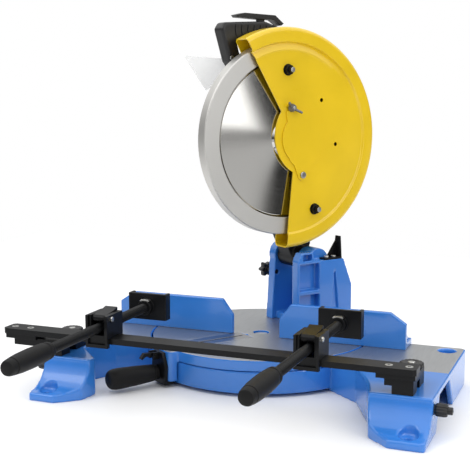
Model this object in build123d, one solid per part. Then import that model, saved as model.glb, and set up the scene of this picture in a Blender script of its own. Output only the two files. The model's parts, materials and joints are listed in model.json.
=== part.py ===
from build123d import *
import os
from math import sin, cos, radians, sqrt, hypot

# Metal-cutting mitre saw with a screw vise along its front edge.
# Millimetres. Origin on the bench under the turntable's axis, +X right, +Y back, +Z up.
# The turntable is stored swung to the left with the head raised.
# Turntable and head pieces are drawn looking straight ahead, then swung by REST_MITRE.

# Stored pose
REST_MITRE = 35.0

# Saw blade and arbor
BLADE_R = 177.5
BLADE_T = 2.4
BLADE_TEETH = 66
TOOTH_DEPTH = 5.0
BLADE_Y = 50.0
BLADE_Z = 441.0
ARBOR_R = 12.65
SPINDLE_R = 14.0
FLANGE_R = 32.0
FLANGE_IN_T = 8.0
FLANGE_OUT_T = 5.0
BOLT_HEAD_R = 10.0
BOLT_HEAD_H = 6.5
FIT = 0.05

# Head pivot
PIVOT_Y = 118.0
PIVOT_Z = 200.0
PIVOT_R = 10.0
HUB_R = 22.0
HUB_X0 = -82.0
HUB_X1 = -12.0
SIDE_GAP = 0.6

# Base casting and table
TABLE_Z = 67.0
TURN_R = 210.0
TURN_GAP = 2.0
RIM_LAP = 12.0
APRON_T = 11.0
APRON_Z0 = 6.0
APRON_TOP = 47.0
PAN_T = 7.0
WALL = 9.0
FOOT_AHEAD = 24.5
WING_LIP = -300.0
WING_BACK = 22.0
FOOT_H = 14.0
CORNER_R = 7.0
RIGHT_OUT = 390.0
RIGHT_IN = 333.0
LEFT_OUT = 300.0
LEFT_IN = 250.0
TOE_IN = 38.0
TOE_RUN = 34.0
TOE_CLEAR = 18.5
KNEE_CLEAR_LEFT = 13.5
KNEE_CLEAR_RIGHT = 44.0
HEEL_CLEAR = 73.0
SCOOP_ANGLE = 57.5
HOLE_X_LEFT = -273.0
HOLE_X_RIGHT = 360.0
HOLE_Y_FRONT = -332.0
HOLE_Y_BACK = -5.0
FOOT_HOLE_R = 5.5
SPOT_R = 15.0
SPOT_Z = 11.0
HUB_BORE_R = 28.0
BOSS_R = 42.0
REAR_PAD_X = 120.0
REAR_PAD_Y = 160.0

# Fence
FENCE_Y = -32.0
FENCE_T = 12.0
FENCE_H = 66.0
FENCE_GAP = 48.0
FENCE_REACH = 80.0
FENCE_FOOT = 42.0

# Mitre arm
ARM_W = 72.0
ARM_REACH = 16.0
ARM_Z0 = 12.0
ARM_CLEAR = 2.5
KERF_W = 8.0
KERF_STOP = 20.0
GRIP_Z = 25.0
GRIP_LEN = 98.0
GRIP_GAP = 1.5
BRACKET_T = 7.0
GRIP_R = 19.0

# Guards
GUARD_R = 210.0
GUARD_X0 = -21.0
GUARD_X1 = 22.0
GUARD_T = 2.5
GUARD_STEP = 3.0
GUARD_BAND = 26.0
LOWER_R = 184.0
LOWER_X1 = 10.0
LOWER_RIM = 22.0
LOWER_RECESS = 4.5
LOWER_T = 2.0
LOWER_FLAT = 32.0
LOWER_FROM = -96.0
LOWER_TO = 70.0
COLLAR_R = 24.0
COLLAR_BORE = 17.0

# Drive
GEAR_MODULE = 1.7
GEAR_TEETH = 60
PINION_TEETH = 12
GEAR_BACKLASH = 0.35
GEAR_W = 18.0
MOTOR_TILT = 24.0
MOTOR_R = 48.0
MOTOR_LEN = 150.0
MOTOR_WALL = 4.0
CAP_LEN = 30.0
BOX_X0 = -82.0
BOX_WALL = 6.0
SHAFT_R = 6.0

# Vise
RAIL_X0 = -378.0
RAIL_X1 = 365.0
RAIL_Y0 = -312.0
RAIL_W = 38.0
RAIL_T = 10.0
RAIL_TOP = 112.0
SCREW_Z = 129.0
SCREW_R = 9.0
CLAMP_X_LEFT = -182.0
CLAMP_X_RIGHT = 193.0
PAD_Y = -121.0
CLAMP_GRIP_END = -584.0
CLAMP_GRIP_LEN = 118.0
CLAMP_GRIP_R = 16.0
BLOCK_W = 42.0
BLOCK_WALL = 9.0
BLOCK_H = 56.0
SLIDE_GAP = 0.5

MID = Align.CENTER
LOW = Align.MIN
RAIL_Y1 = RAIL_Y0 + RAIL_W
RAIL_Z0 = RAIL_TOP - RAIL_T
GEAR_R = GEAR_MODULE * GEAR_TEETH / 2
PINION_R = GEAR_MODULE * PINION_TEETH / 2
GEAR_OFFSET = GEAR_R + PINION_R + GEAR_BACKLASH
MOTOR_Y = BLADE_Y + GEAR_OFFSET * cos(radians(MOTOR_TILT))
MOTOR_Z = BLADE_Z + GEAR_OFFSET * sin(radians(MOTOR_TILT))
APRON_R = TURN_R - RIM_LAP
TABLE_BORE = TURN_R + TURN_GAP
FENCE_END = TURN_R + FENCE_REACH
ARM_END = TURN_R + ARM_REACH
KERF_END = ARM_END - KERF_STOP
GRIP_REACH = ARM_END + BRACKET_T + GRIP_GAP + GRIP_LEN
WING_FRONT = -GRIP_REACH - FOOT_AHEAD
BOX_X1 = GUARD_X0
GEAR_X0 = BOX_X0 + 20.0


# Plain shapes
def rod_x(radius, x0, x1, y, z):
    return Pos(x0, y, z) * Rot(0, 90, 0) * Cylinder(radius, x1 - x0, align=(MID, MID, LOW))


def rod_y(radius, y0, y1, x, z):
    return Pos(x, y0, z) * Rot(-90, 0, 0) * Cylinder(radius, y1 - y0, align=(MID, MID, LOW))


def rod_z(radius, z0, z1, x, y):
    return Pos(x, y, z0) * Cylinder(radius, z1 - z0, align=(MID, MID, LOW))


def cone_y(r0, r1, y0, y1, x, z):
    return Pos(x, y0, z) * Rot(-90, 0, 0) * Cone(r0, r1, y1 - y0, align=(MID, MID, LOW))


def slab(x0, x1, y0, y1, z0, z1):
    return Pos(x0, y0, z0) * Box(x1 - x0, y1 - y0, z1 - z0, align=(LOW, LOW, LOW))


def side_plate(points, x0, x1):
    face = Plane.YZ.offset(x0) * Polygon(*points, align=None)
    return extrude(face, amount=x1 - x0, dir=(1, 0, 0))


def plan_plate(points, z0, z1):
    face = Plane.XY.offset(z0) * Polygon(*points, align=None)
    return extrude(face, amount=z1 - z0, dir=(0, 0, 1))


def front_plate(points, y0, y1):
    face = Plane.XZ.offset(-y0) * Polygon(*points, align=None)
    return extrude(face, amount=y1 - y0, dir=(0, 1, 0))


def hex_x(flats, x0, x1, y, z):
    face = Plane.YZ.offset(x0) * Pos(y, z) * RegularPolygon(flats / sqrt(3), 6)
    return extrude(face, amount=x1 - x0, dir=(1, 0, 0))


def hex_z(flats, z0, z1, x, y):
    face = Plane.XY.offset(z0) * Pos(x, y) * RegularPolygon(flats / sqrt(3), 6)
    return extrude(face, amount=z1 - z0, dir=(0, 0, 1))


def spun_x(points, y, z):
    profile = Polygon(*points, align=None)
    return Pos(0, y, z) * revolve(Plane.XY * profile, axis=Axis.X)


def lobed(radius, lobes, dip, z0, z1):
    shape = Cylinder(radius, z1 - z0, align=(MID, MID, LOW))
    for index in range(lobes):
        angle = radians(360.0 * index / lobes)
        place = Pos(radius * 1.12 * cos(angle), radius * 1.12 * sin(angle), 0)
        shape -= place * Cylinder(dip, z1 - z0, align=(MID, MID, LOW))
    return Pos(0, 0, z0) * shape


def together(shapes):
    whole = shapes[0]
    for shape in shapes[1:]:
        whole = whole + shape
    return whole


def head_point(forward, up):
    return (BLADE_Y - forward, BLADE_Z + up)


def polar(radius, degrees_from_front):
    angle = radians(degrees_from_front)
    return (radius * sin(angle), -radius * cos(angle))


def swung(shape):
    return Rot(0, 0, -REST_MITRE) * shape


# Base
# The front hollow of each wing clears the mitre grip's swing.
# Each point is a radius and degrees from the front.
SCOOP_RIGHT = ((GRIP_REACH + KNEE_CLEAR_RIGHT, 47.2), (TURN_R + HEEL_CLEAR, 55.2))
SCOOP_LEFT = (
    (GRIP_REACH + TOE_CLEAR, 36.0),
    (GRIP_REACH + KNEE_CLEAR_LEFT, 49.2),
    (TURN_R + HEEL_CLEAR + 1.0, 55.2),
)


def wing_plan(side, outer, inner, scoop):
    inner_edge = [(inner, WING_FRONT), (inner - TOE_IN, WING_FRONT + TOE_RUN)]
    inner_edge += [polar(*place) for place in scoop]
    inner_edge += [polar(APRON_R, SCOOP_ANGLE), (APRON_R - 30, WING_BACK), (outer, WING_BACK)]
    points = [(side * x, y) for x, y in [(outer, WING_FRONT)] + inner_edge]
    plan = Polygon(*points, align=None)
    return fillet(plan.vertices(), CORNER_R)


def front_scoop(grow):
    rise = TABLE_Z - FOOT_H
    depth = WING_LIP - WING_FRONT
    radius = (depth ** 2 + rise ** 2) / (2 * depth)
    return rod_x(radius + grow, -LEFT_OUT - 50, RIGHT_OUT + 50, WING_LIP - radius, TABLE_Z)


def wing_block(plan):
    return extrude(plan, amount=TABLE_Z, dir=(0, 0, 1)) - front_scoop(0)


def wing(plan):
    hollow = extrude(offset(plan, -WALL), amount=TABLE_Z - WALL, dir=(0, 0, 1)) - front_scoop(WALL)
    return wing_block(plan) - hollow


def side_arch(x0, x1):
    arch_front, arch_back = -262.0, -108.0
    arch_top = TABLE_Z - WALL - 3
    points = [
        (arch_front, -1),
        (arch_front + 22, arch_top),
        (arch_back - 44, arch_top),
        (arch_back, -1),
    ]
    return side_plate(points, x0, x1)


def base_casting():
    right = wing_plan(1, RIGHT_OUT, RIGHT_IN, SCOOP_RIGHT)
    left = wing_plan(-1, LEFT_OUT, LEFT_IN, SCOOP_LEFT)
    body = wing(right) + wing(left)
    holes = [(x, y) for x in (HOLE_X_LEFT, HOLE_X_RIGHT) for y in (HOLE_Y_FRONT, HOLE_Y_BACK)]
    for x, y in holes:
        block = wing_block(right if x > 0 else left)
        body += rod_z(SPOT_R + WALL, 0, TABLE_Z, x, y) & block
    body += rod_z(APRON_R + APRON_T, APRON_Z0, APRON_TOP, 0, 0)
    body -= rod_z(APRON_R, APRON_Z0 + PAN_T, APRON_TOP + 1, 0, 0)
    body -= rod_z(TABLE_BORE, APRON_TOP, TABLE_Z + 1, 0, 0)
    body -= rod_z(APRON_R + DETENT_SEAT, APRON_TOP - DETENT_T, APRON_TOP + 1, 0, 0)
    body += rod_z(BOSS_R, 0, APRON_TOP - HUB_DROP, 0, 0)
    for side in (1, -1):
        body += rod_z(24, 0, APRON_Z0 + PAN_T, side * REAR_PAD_X, REAR_PAD_Y)
    body -= rod_z(HUB_BORE_R, APRON_Z0 + PAN_T, APRON_TOP, 0, 0)
    body -= rod_z(8, APRON_Z0, APRON_TOP, 0, 0)
    for x, y in holes:
        body -= rod_z(FOOT_HOLE_R, -1, SPOT_Z + 1, x, y)
        body -= rod_z(SPOT_R, SPOT_Z, TABLE_Z + 1, x, y)
    body -= side_arch(RIGHT_OUT - WALL - 1, RIGHT_OUT + 1)
    body -= side_arch(-LEFT_OUT - 1, -LEFT_OUT + WALL + 1)
    for side in (1, -1):
        body -= rod_z(5, TABLE_Z - WALL - 1, TABLE_Z + 1, knob_x(side), KNOB_Y)
        body -= rod_x(SIDE_SCREW_R + FIT, *side_screw_span(side, WALL + 2), SIDE_SCREW_Y, SIDE_SCREW_Z)
    return body


def fence():
    halves = []
    for side in (1, -1):
        z0 = TABLE_Z + 0.4
        y1 = FENCE_Y + FENCE_T
        upright = [
            (side * FENCE_GAP, z0),
            (side * FENCE_END, z0),
            (side * FENCE_END, z0 + FENCE_H - 20),
            (side * (FENCE_END - 30), z0 + FENCE_H),
            (side * (FENCE_GAP + 22), z0 + FENCE_H),
            (side * FENCE_GAP, z0 + FENCE_H - 30),
        ]
        half = front_plate(upright, FENCE_Y, y1)
        inner = side * (TABLE_BORE + 4)
        outer = side * FENCE_END
        foot = [(inner, y1), (outer, y1), (outer, y1 + FENCE_FOOT), (inner, y1 + FENCE_FOOT)]
        half += plan_plate(foot, TABLE_Z, TABLE_Z + 11)
        half += front_plate([(inner, TABLE_Z), (outer, TABLE_Z), (outer, z0 + 1), (inner, z0 + 1)],
                            FENCE_Y, y1)
        for x in (TABLE_BORE + 33, FENCE_END - 8):
            gusset = [(y1, TABLE_Z + 10), (y1 + FENCE_FOOT - 6, TABLE_Z + 10), (y1, z0 + FENCE_H - 24)]
            half += side_plate(gusset, side * x - 4, side * x + 4)
        for x in fence_bolt_x():
            half -= rod_z(5.5, TABLE_Z - 1, TABLE_Z + 12, side * x, y1 + 22)
        halves.append(half)
    return together(halves)


def fence_bolt_x():
    return (TABLE_BORE + 16, FENCE_END - 24)


def fence_bolts():
    bolts = []
    y = FENCE_Y + FENCE_T + 22
    for side in (1, -1):
        for x in fence_bolt_x():
            bolt = hex_z(13, TABLE_Z + 11, TABLE_Z + 18, side * x, y)
            bolt += rod_z(5.2, TABLE_Z, TABLE_Z + 11, side * x, y)
            bolts.append(bolt)
    return together(bolts)


def pivot_bolt():
    bolt = rod_z(8, APRON_Z0, TABLE_Z - 12, 0, 0)
    bolt += hex_z(24, TABLE_Z - 12, TABLE_Z - 3, 0, 0)
    return bolt


DETENT_SEAT = 5.0
DETENT_T = 5.0
DETENT_LIP = 9.0
HUB_DROP = 11.0


def detent_plate():
    plate = rod_z(APRON_R + DETENT_SEAT - FIT, APRON_TOP - DETENT_T, APRON_TOP - 0.3, 0, 0)
    plate -= rod_z(APRON_R - DETENT_LIP, 0, TABLE_Z, 0, 0)
    for angle in (-45, -30, -22.5, -15, 0, 15, 22.5, 30, 45):
        x, y = polar(APRON_R - DETENT_LIP, angle)
        plate -= rod_z(2.5, 0, TABLE_Z, x, y)
    return plate


# Side lock screws
SIDE_SCREW_R = 8.0
SIDE_SCREW_Y = -284.0
SIDE_SCREW_Z = 46.0
SIDE_SCREW_LEN = 28.0


def side_screw_span(side, depth):
    outer = RIGHT_OUT if side > 0 else LEFT_OUT
    ends = sorted((side * (outer - depth), side * (outer + 1)))
    return ends[0], ends[1]


def side_screw(side):
    outer = RIGHT_OUT if side > 0 else LEFT_OUT
    span = sorted((side * (outer - WALL - 6), side * (outer + 4)))
    screw = rod_x(SIDE_SCREW_R - FIT, span[0], span[1], SIDE_SCREW_Y, SIDE_SCREW_Z)
    head = sorted((side * (outer + 1.5), side * (outer + SIDE_SCREW_LEN - 8)))
    screw += rod_x(SIDE_SCREW_R + 2.5, head[0], head[1], SIDE_SCREW_Y, SIDE_SCREW_Z)
    tip = sorted((side * (outer + SIDE_SCREW_LEN - 8), side * (outer + SIDE_SCREW_LEN)))
    screw += rod_x(SIDE_SCREW_R - 2, tip[0], tip[1], SIDE_SCREW_Y, SIDE_SCREW_Z)
    socket = sorted((side * (outer + SIDE_SCREW_LEN - 5), side * (outer + SIDE_SCREW_LEN + 1)))
    return screw - hex_x(5, socket[0], socket[1], SIDE_SCREW_Y, SIDE_SCREW_Z)


# Turntable
def turntable():
    plate_t = 12.0
    top = rod_z(TURN_R, APRON_TOP + 0.3, TABLE_Z, 0, 0)
    top -= rod_z(TURN_R - 16, APRON_TOP - 1, TABLE_Z - plate_t, 0, 0)
    hub = rod_z(HUB_BORE_R - FIT, APRON_Z0 + PAN_T + 0.3, TABLE_Z, 0, 0)
    body = top + hub
    for angle in range(30, 360, 60):
        rib = slab(-4, 4, 20, TURN_R - 10, APRON_TOP + 0.3, TABLE_Z - 1)
        body += Rot(0, 0, angle) * rib
    arm = slab(-ARM_W / 2, ARM_W / 2, -ARM_END, -TURN_R + 30, ARM_Z0, TABLE_Z)
    arm -= rod_z(APRON_R + APRON_T + ARM_CLEAR, 0, APRON_TOP + 0.3, 0, 0)
    body += fillet(arm.edges().filter_by(Axis.Z).group_by(Axis.Y)[0], CORNER_R)
    body -= slab(-KERF_W / 2, KERF_W / 2, -KERF_END, -HUB_BORE_R - 4, APRON_Z0, TABLE_Z + 1)
    body -= kerf_pocket(0.2)
    body -= rod_z(8 + FIT, 0, TABLE_Z + 1, 0, 0)
    body -= rod_z(15, TABLE_Z - 12, TABLE_Z + 1, 0, 0)
    body -= rod_y(SHANK_R + 1, -ARM_END - 1, -ARM_END + SHANK_IN + 1, GRIP_N, GRIP_Z)
    return body


def kerf_pocket(grow):
    return slab(-24 - grow, 24 + grow, -TURN_R + 22 - grow, -HUB_BORE_R - 8 + grow,
                TABLE_Z - 3 - grow, TABLE_Z + 1)


def kerf_plate():
    plate = slab(-24, 24, -TURN_R + 22, -HUB_BORE_R - 8, TABLE_Z - 3, TABLE_Z - 0.1)
    return plate - slab(-2.5, 2.5, -TURN_R, -HUB_BORE_R - 16, 0, TABLE_Z + 1)


# Pivot column
EAR_R = 27.0
EAR_LEFT_X0 = -104.0
EAR_RIGHT_X1 = 46.0
HOUSING_X0 = 26.0
HOUSING_FRONT = 54.0
HOUSING_TOP = 204.0
COLUMN_FOOT = 14.0


def pivot_column():
    left0, left1 = EAR_LEFT_X0, HUB_X0 - SIDE_GAP
    right0 = HUB_X1 + SIDE_GAP
    ear = [(PIVOT_Y - 34, TABLE_Z), (PIVOT_Y + 46, TABLE_Z), (PIVOT_Y + EAR_R - 2, PIVOT_Z + 4),
           (PIVOT_Y - EAR_R + 2, PIVOT_Z + 4)]
    body = side_plate(ear, left0, left1) + rod_x(EAR_R, left0, left1, PIVOT_Y, PIVOT_Z)
    inner_ear = [(PIVOT_Y - 23, TABLE_Z), (PIVOT_Y + 46, TABLE_Z), (PIVOT_Y + EAR_R - 5, PIVOT_Z + 4),
                 (PIVOT_Y - 22, PIVOT_Z + 4)]
    body += side_plate(inner_ear, right0, HOUSING_X0) + rod_x(EAR_R - 2, right0, HOUSING_X0, PIVOT_Y, PIVOT_Z)
    housing = [(HOUSING_FRONT, TABLE_Z), (HOUSING_FRONT, PIVOT_Z + 6), (HOUSING_FRONT + 8, PIVOT_Z + 22),
               (HOUSING_FRONT + 36, PIVOT_Z + 22), (HOUSING_FRONT + 42, HOUSING_TOP),
               (PIVOT_Y + 48, HOUSING_TOP), (PIVOT_Y + 70, TABLE_Z + 82), (PIVOT_Y + 70, TABLE_Z)]
    body += side_plate(housing, HOUSING_X0, EAR_RIGHT_X1)
    pocket = slab(HOUSING_X0 + 5, EAR_RIGHT_X1 + 1, HOUSING_FRONT + 5, HOUSING_FRONT + 52,
                  TABLE_Z + 80, HOUSING_TOP - 4)
    upper_pocket = slab(HOUSING_X0 + 5, EAR_RIGHT_X1 + 1, HOUSING_FRONT + 12, HOUSING_FRONT + 34,
                        HOUSING_TOP + 2, PIVOT_Z + 18)
    crease = [(PIVOT_Y + 18, TABLE_Z - 1), (PIVOT_Y + 26, HOUSING_TOP - 6), (PIVOT_Y + 40, TABLE_Z - 1)]
    body = body - pocket - upper_pocket - side_plate(crease, EAR_RIGHT_X1 - 5, EAR_RIGHT_X1 + 1)
    lower = slab(HOUSING_X0 + 5, EAR_RIGHT_X1 + 1, HOUSING_FRONT + 5, HOUSING_FRONT + 52,
                 TABLE_Z + 20, TABLE_Z + 72)
    body -= lower
    body += slab(left0, EAR_RIGHT_X1, PIVOT_Y - 22, PIVOT_Y + 46, TABLE_Z, TABLE_Z + COLUMN_FOOT)
    bridge = [(PIVOT_Y + 16, TABLE_Z), (PIVOT_Y + 46, TABLE_Z), (PIVOT_Y + 42, PIVOT_Z - 36),
              (PIVOT_Y + 32, PIVOT_Z - 36)]
    body += side_plate(bridge, left0, HOUSING_X0)
    for rib in range(2):
        z0 = PIVOT_Z - 98 + 42 * rib
        body -= slab(left0 - 1, left0 + 11, PIVOT_Y - 13, PIVOT_Y + 22, z0, z0 + 32)
    body -= rod_x(PIVOT_R, left0 - 1, HOUSING_X0 - 2, PIVOT_Y, PIVOT_Z)
    body -= rod_x(SPRING_R + 1, left1 - SPRING_W - 1, left1 + 1, PIVOT_Y, PIVOT_Z)
    body -= rod_x(PIN_R + FIT, left0 - 1, left1 + 1, PIN_Y, PIN_Z)
    return body


def pivot_shaft():
    shaft = rod_x(PIVOT_R, EAR_LEFT_X0 - 3, HOUSING_X0 - 2, PIVOT_Y, PIVOT_Z)
    return shaft + hex_x(24, EAR_LEFT_X0 - 11, EAR_LEFT_X0 - 0.2, PIVOT_Y, PIVOT_Z)


SPRING_R = 17.0
SPRING_W = 8.0


def return_spring():
    x1 = HUB_X0 - SIDE_GAP - 0.3
    outer = rod_x(SPRING_R, x1 - SPRING_W, x1, PIVOT_Y, PIVOT_Z)
    return outer - rod_x(PIVOT_R + 2, x1 - SPRING_W - 1, x1 + 1, PIVOT_Y, PIVOT_Z)


def stop_bracket():
    foot_y0, foot_y1 = PIVOT_Y + 2, PIVOT_Y + 44
    plate = slab(HOUSING_X0 + 1, EAR_RIGHT_X1 - 1, foot_y0, foot_y1, HOUSING_TOP, HOUSING_TOP + 3.5)
    upright = [(HOUSING_X0 - 4, HOUSING_TOP), (EAR_RIGHT_X1 - 1, HOUSING_TOP),
               (EAR_RIGHT_X1 - 5, HOUSING_TOP + 44), (HOUSING_X0 + 2, HOUSING_TOP + 44)]
    plate += front_plate(upright, foot_y1 - 3.5, foot_y1)
    web = [(foot_y0 + 14, HOUSING_TOP), (foot_y1, HOUSING_TOP), (foot_y1, HOUSING_TOP + 40)]
    plate += side_plate(web, HOUSING_X0 + 1, HOUSING_X0 + 4)
    for y in bracket_screw_y():
        plate -= rod_z(3.2, HOUSING_TOP - 1, HOUSING_TOP + 4, EAR_RIGHT_X1 - 9, y)
    return plate


def bracket_screw_y():
    return (PIVOT_Y + 11, PIVOT_Y + 29)


def stop_bracket_screws():
    screws = []
    for y in bracket_screw_y():
        x = EAR_RIGHT_X1 - 9
        screw = rod_z(5.5, HOUSING_TOP + 3.5, HOUSING_TOP + 7, x, y)
        screw += rod_z(3, HOUSING_TOP, HOUSING_TOP + 3.5, x, y)
        screws.append(screw)
    return together(screws)


# Mitre handle
GRIP_N = 4.0
SHANK_R = 6.0
SHANK_IN = 9.0
LEVER_Z = TABLE_Z - 9.0


def mitre_bracket():
    y0 = -ARM_END - BRACKET_T
    plate_points = [(-16, 6), (30, 6), (32, 40), (22, TABLE_Z - 3), (-8, TABLE_Z - 3), (-16, 40)]
    plate = front_plate(plate_points, y0, -ARM_END)
    plate += slab(-16, 30, -ARM_END, -APRON_R - APRON_T - ARM_CLEAR, 6, ARM_Z0)
    for x in (-5, 9):
        plate += slab(x - 2.5, x + 2.5, y0 - 12, y0, LEVER_Z - 7, LEVER_Z + 6)
    plate -= rod_x(LEVER_PIN_R + FIT, -20, 20, y0 - 7, LEVER_Z)
    return plate - rod_y(SHANK_R + FIT, y0 - 1, -ARM_END + 1, GRIP_N, GRIP_Z)


LEVER_PIN_R = 2.5


def detent_lever():
    y0 = -ARM_END - BRACKET_T - 7
    z0 = LEVER_Z
    hook = [(y0 + 4.5, z0 - 4), (y0 + 4.5, z0 + 4), (y0 - 20, z0 + 5), (y0 - 27, z0 - 4),
            (y0 - 24, z0 - 6), (y0 - 17, z0 - 1)]
    lever = side_plate(hook, -2.2, 6.2)
    return lever + rod_x(LEVER_PIN_R, -9, 13, y0, z0)


def mitre_grip():
    start = -ARM_END - BRACKET_T - GRIP_GAP
    end = start - GRIP_LEN
    grip = cone_y(GRIP_R, GRIP_R - 3.5, end + 10, start - 6, GRIP_N, GRIP_Z)
    grip += cone_y(GRIP_R - 5, GRIP_R, end, end + 10, GRIP_N, GRIP_Z)
    grip += rod_y(GRIP_R - 5, start - 6, start, GRIP_N, GRIP_Z)
    return grip + rod_y(SHANK_R, start, -ARM_END + SHANK_IN, GRIP_N, GRIP_Z)


PIN_Y = PIVOT_Y - 21.0
PIN_Z = PIVOT_Z - 36.0
PIN_R = 5.0


def hold_down_pin():
    pin = rod_x(PIN_R, EAR_LEFT_X0 - 12, HUB_X0 - 4, PIN_Y, PIN_Z)
    knob = Pos(EAR_LEFT_X0 - 26, PIN_Y, PIN_Z) * Rot(0, 90, 0) * lobed(16, 6, 5, 0, 14)
    collar = rod_x(8, EAR_LEFT_X0 - 13, EAR_LEFT_X0 - 9, PIN_Y, PIN_Z)
    return pin + knob + collar


# Head
def gearbox_outline(grow):
    arbor = rod_x(GEAR_R + BOX_WALL + grow, BOX_X0, BOX_X1, BLADE_Y, BLADE_Z)
    motor = rod_x(MOTOR_R + grow, BOX_X0, BOX_X1 - 22, MOTOR_Y, MOTOR_Z)
    return arbor + motor


def gearbox_housing():
    box = gearbox_outline(2.5)
    gear_x1 = GEAR_X0 + GEAR_W
    box -= rod_x(GEAR_R + 3.5, GEAR_X0 - 2, gear_x1 + 2, BLADE_Y, BLADE_Z)
    box -= rod_x(PINION_R + 4, GEAR_X0 - 2, gear_x1 + 2, MOTOR_Y, MOTOR_Z)
    box -= rod_x(BEARING_R, BOX_X0 + 4, GEAR_X0, BLADE_Y, BLADE_Z)
    box -= rod_x(BEARING_R, gear_x1, BOX_X1 - 4, BLADE_Y, BLADE_Z)
    box -= rod_x(SPINDLE_R + 1, BOX_X1 - 5, BOX_X1 + 1, BLADE_Y, BLADE_Z)
    box -= rod_x(SMALL_BEARING_R, gear_x1, gear_x1 + 9, MOTOR_Y, MOTOR_Z)
    box -= rod_x(SHAFT_R + 2, BOX_X0 - 1, GEAR_X0, MOTOR_Y, MOTOR_Z)
    return box


BEARING_R = 26.0
BEARING_W = 12.0
SMALL_BEARING_R = 13.0
SMALL_BEARING_W = 8.0


def ring_x(outer, bore, x0, x1, y, z):
    return rod_x(outer, x0, x1, y, z) - rod_x(bore, x0 - 1, x1 + 1, y, z)


def arbor_bearings():
    front0 = BOX_X1 - 4 - BEARING_W
    front = ring_x(BEARING_R, SPINDLE_R + FIT, front0, front0 + BEARING_W, BLADE_Y, BLADE_Z)
    back0 = BOX_X0 + 4
    back = ring_x(BEARING_R, SPINDLE_R + FIT, back0, back0 + BEARING_W, BLADE_Y, BLADE_Z)
    return together([front, back])


def armature_bearings():
    front0 = GEAR_X0 + GEAR_W + 0.5
    front = ring_x(SMALL_BEARING_R, SHAFT_R + FIT, front0, front0 + SMALL_BEARING_W, MOTOR_Y, MOTOR_Z)
    back0 = BOX_X0 - MOTOR_LEN - 10
    back = ring_x(SMALL_BEARING_R, SHAFT_R + FIT, back0, back0 + SMALL_BEARING_W, MOTOR_Y, MOTOR_Z)
    return together([front, back])


def motor_housing():
    x0, x1 = BOX_X0 - MOTOR_LEN, BOX_X0
    shell = rod_x(MOTOR_R, x0, x1, MOTOR_Y, MOTOR_Z)
    shell = fillet(shell.edges().filter_by(GeomType.CIRCLE).group_by(Axis.X)[0], 3)
    shell -= rod_x(MOTOR_R - MOTOR_WALL, x0 - 1, x1 + 1, MOTOR_Y, MOTOR_Z)
    for index in range(10):
        vent = slab(x1 - 26, x1 - 10, -3, 3, MOTOR_R - MOTOR_WALL - 2, MOTOR_R + 2)
        shell -= Pos(0, MOTOR_Y, MOTOR_Z) * Rot(36 * index, 0, 0) * vent
    for sign in (1, -1):
        socket = Pos(BOX_X0 - MOTOR_LEN + 24, MOTOR_Y, MOTOR_Z) * Rot(90 * sign + 0, 0, 0)
        shell -= socket * Cylinder(7, MOTOR_R + 2, align=(MID, MID, LOW))
    return shell


def brush_caps():
    caps = []
    for sign in (1, -1):
        place = Pos(BOX_X0 - MOTOR_LEN + 24, MOTOR_Y, MOTOR_Z) * Rot(90 * sign, 0, 0)
        cap = place * Pos(0, 0, MOTOR_R - MOTOR_WALL - 4) * Cylinder(7, MOTOR_WALL + 7, align=(MID, MID, LOW))
        caps.append(cap)
    return together(caps)


def motor_end_cap():
    x1 = BOX_X0 - MOTOR_LEN
    cap = rod_x(MOTOR_R, x1 - CAP_LEN, x1, MOTOR_Y, MOTOR_Z)
    cap = fillet(cap.edges().filter_by(GeomType.CIRCLE).group_by(Axis.X)[0], 12)
    cap -= rod_x(MOTOR_R - MOTOR_WALL, x1 - 2, x1 + 1, MOTOR_Y, MOTOR_Z)
    cap -= rod_x(SMALL_BEARING_R, x1 - 10, x1 + 1, MOTOR_Y, MOTOR_Z)
    cap -= rod_x(SHAFT_R + 2, x1 - 14, x1 + 1, MOTOR_Y, MOTOR_Z)
    for index in range(-2, 3):
        vent = slab(x1 - CAP_LEN - 1, x1 - CAP_LEN + 4, -20, 20, -2 + 11 * index, 2 + 11 * index)
        cap -= Pos(0, MOTOR_Y, MOTOR_Z) * vent
    cap -= rod_z(GLAND_R - 3, MOTOR_Z - MOTOR_R - 1, MOTOR_Z - MOTOR_R + 16, x1 - CAP_LEN / 2, MOTOR_Y)
    return cap


GLAND_R = 9.0


def cord_gland():
    x = BOX_X0 - MOTOR_LEN - CAP_LEN / 2
    z1 = MOTOR_Z - MOTOR_R
    gland = rod_z(GLAND_R, z1 - 10, z1 - 1, x, MOTOR_Y) + rod_z(GLAND_R - 3, z1 - 1, z1 + 12, x, MOTOR_Y)
    return gland - rod_z(4, z1 - 11, z1 + 13, x, MOTOR_Y)


def head_arm():
    box_r = GEAR_R + BOX_WALL + 2.5
    x0, x1 = BOX_X0 + 8, BOX_X1 - 12
    web = [(PIVOT_Y + HUB_R - 2, PIVOT_Z), (PIVOT_Y + HUB_R + 16, PIVOT_Z + 90),
           (MOTOR_Y + 10, BLADE_Z - 40), (BLADE_Y - 30, BLADE_Z - 40),
           (BLADE_Y - 6, PIVOT_Z + 120), (PIVOT_Y - HUB_R + 2, PIVOT_Z)]
    arm = side_plate(web, x0, x1)
    window = [(PIVOT_Y + 16, PIVOT_Z + 50), (PIVOT_Y + 20, PIVOT_Z + 92), (BLADE_Y + 44, BLADE_Z - 84),
              (BLADE_Y + 10, BLADE_Z - 84), (BLADE_Y + 24, PIVOT_Z + 110), (PIVOT_Y - 10, PIVOT_Z + 50)]
    arm -= side_plate(window, x0 + 9, x1 + 1)
    arm += rod_x(HUB_R, HUB_X0, HUB_X1, PIVOT_Y, PIVOT_Z)
    arm -= rod_x(box_r, x0 - 20, x1 + 20, BLADE_Y, BLADE_Z)
    arm -= rod_x(MOTOR_R + 2.5, x0 - 20, x1 + 20, MOTOR_Y, MOTOR_Z)
    return arm - rod_x(PIVOT_R + FIT, HUB_X0 - 1, HUB_X1 + 1, PIVOT_Y, PIVOT_Z)


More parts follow.
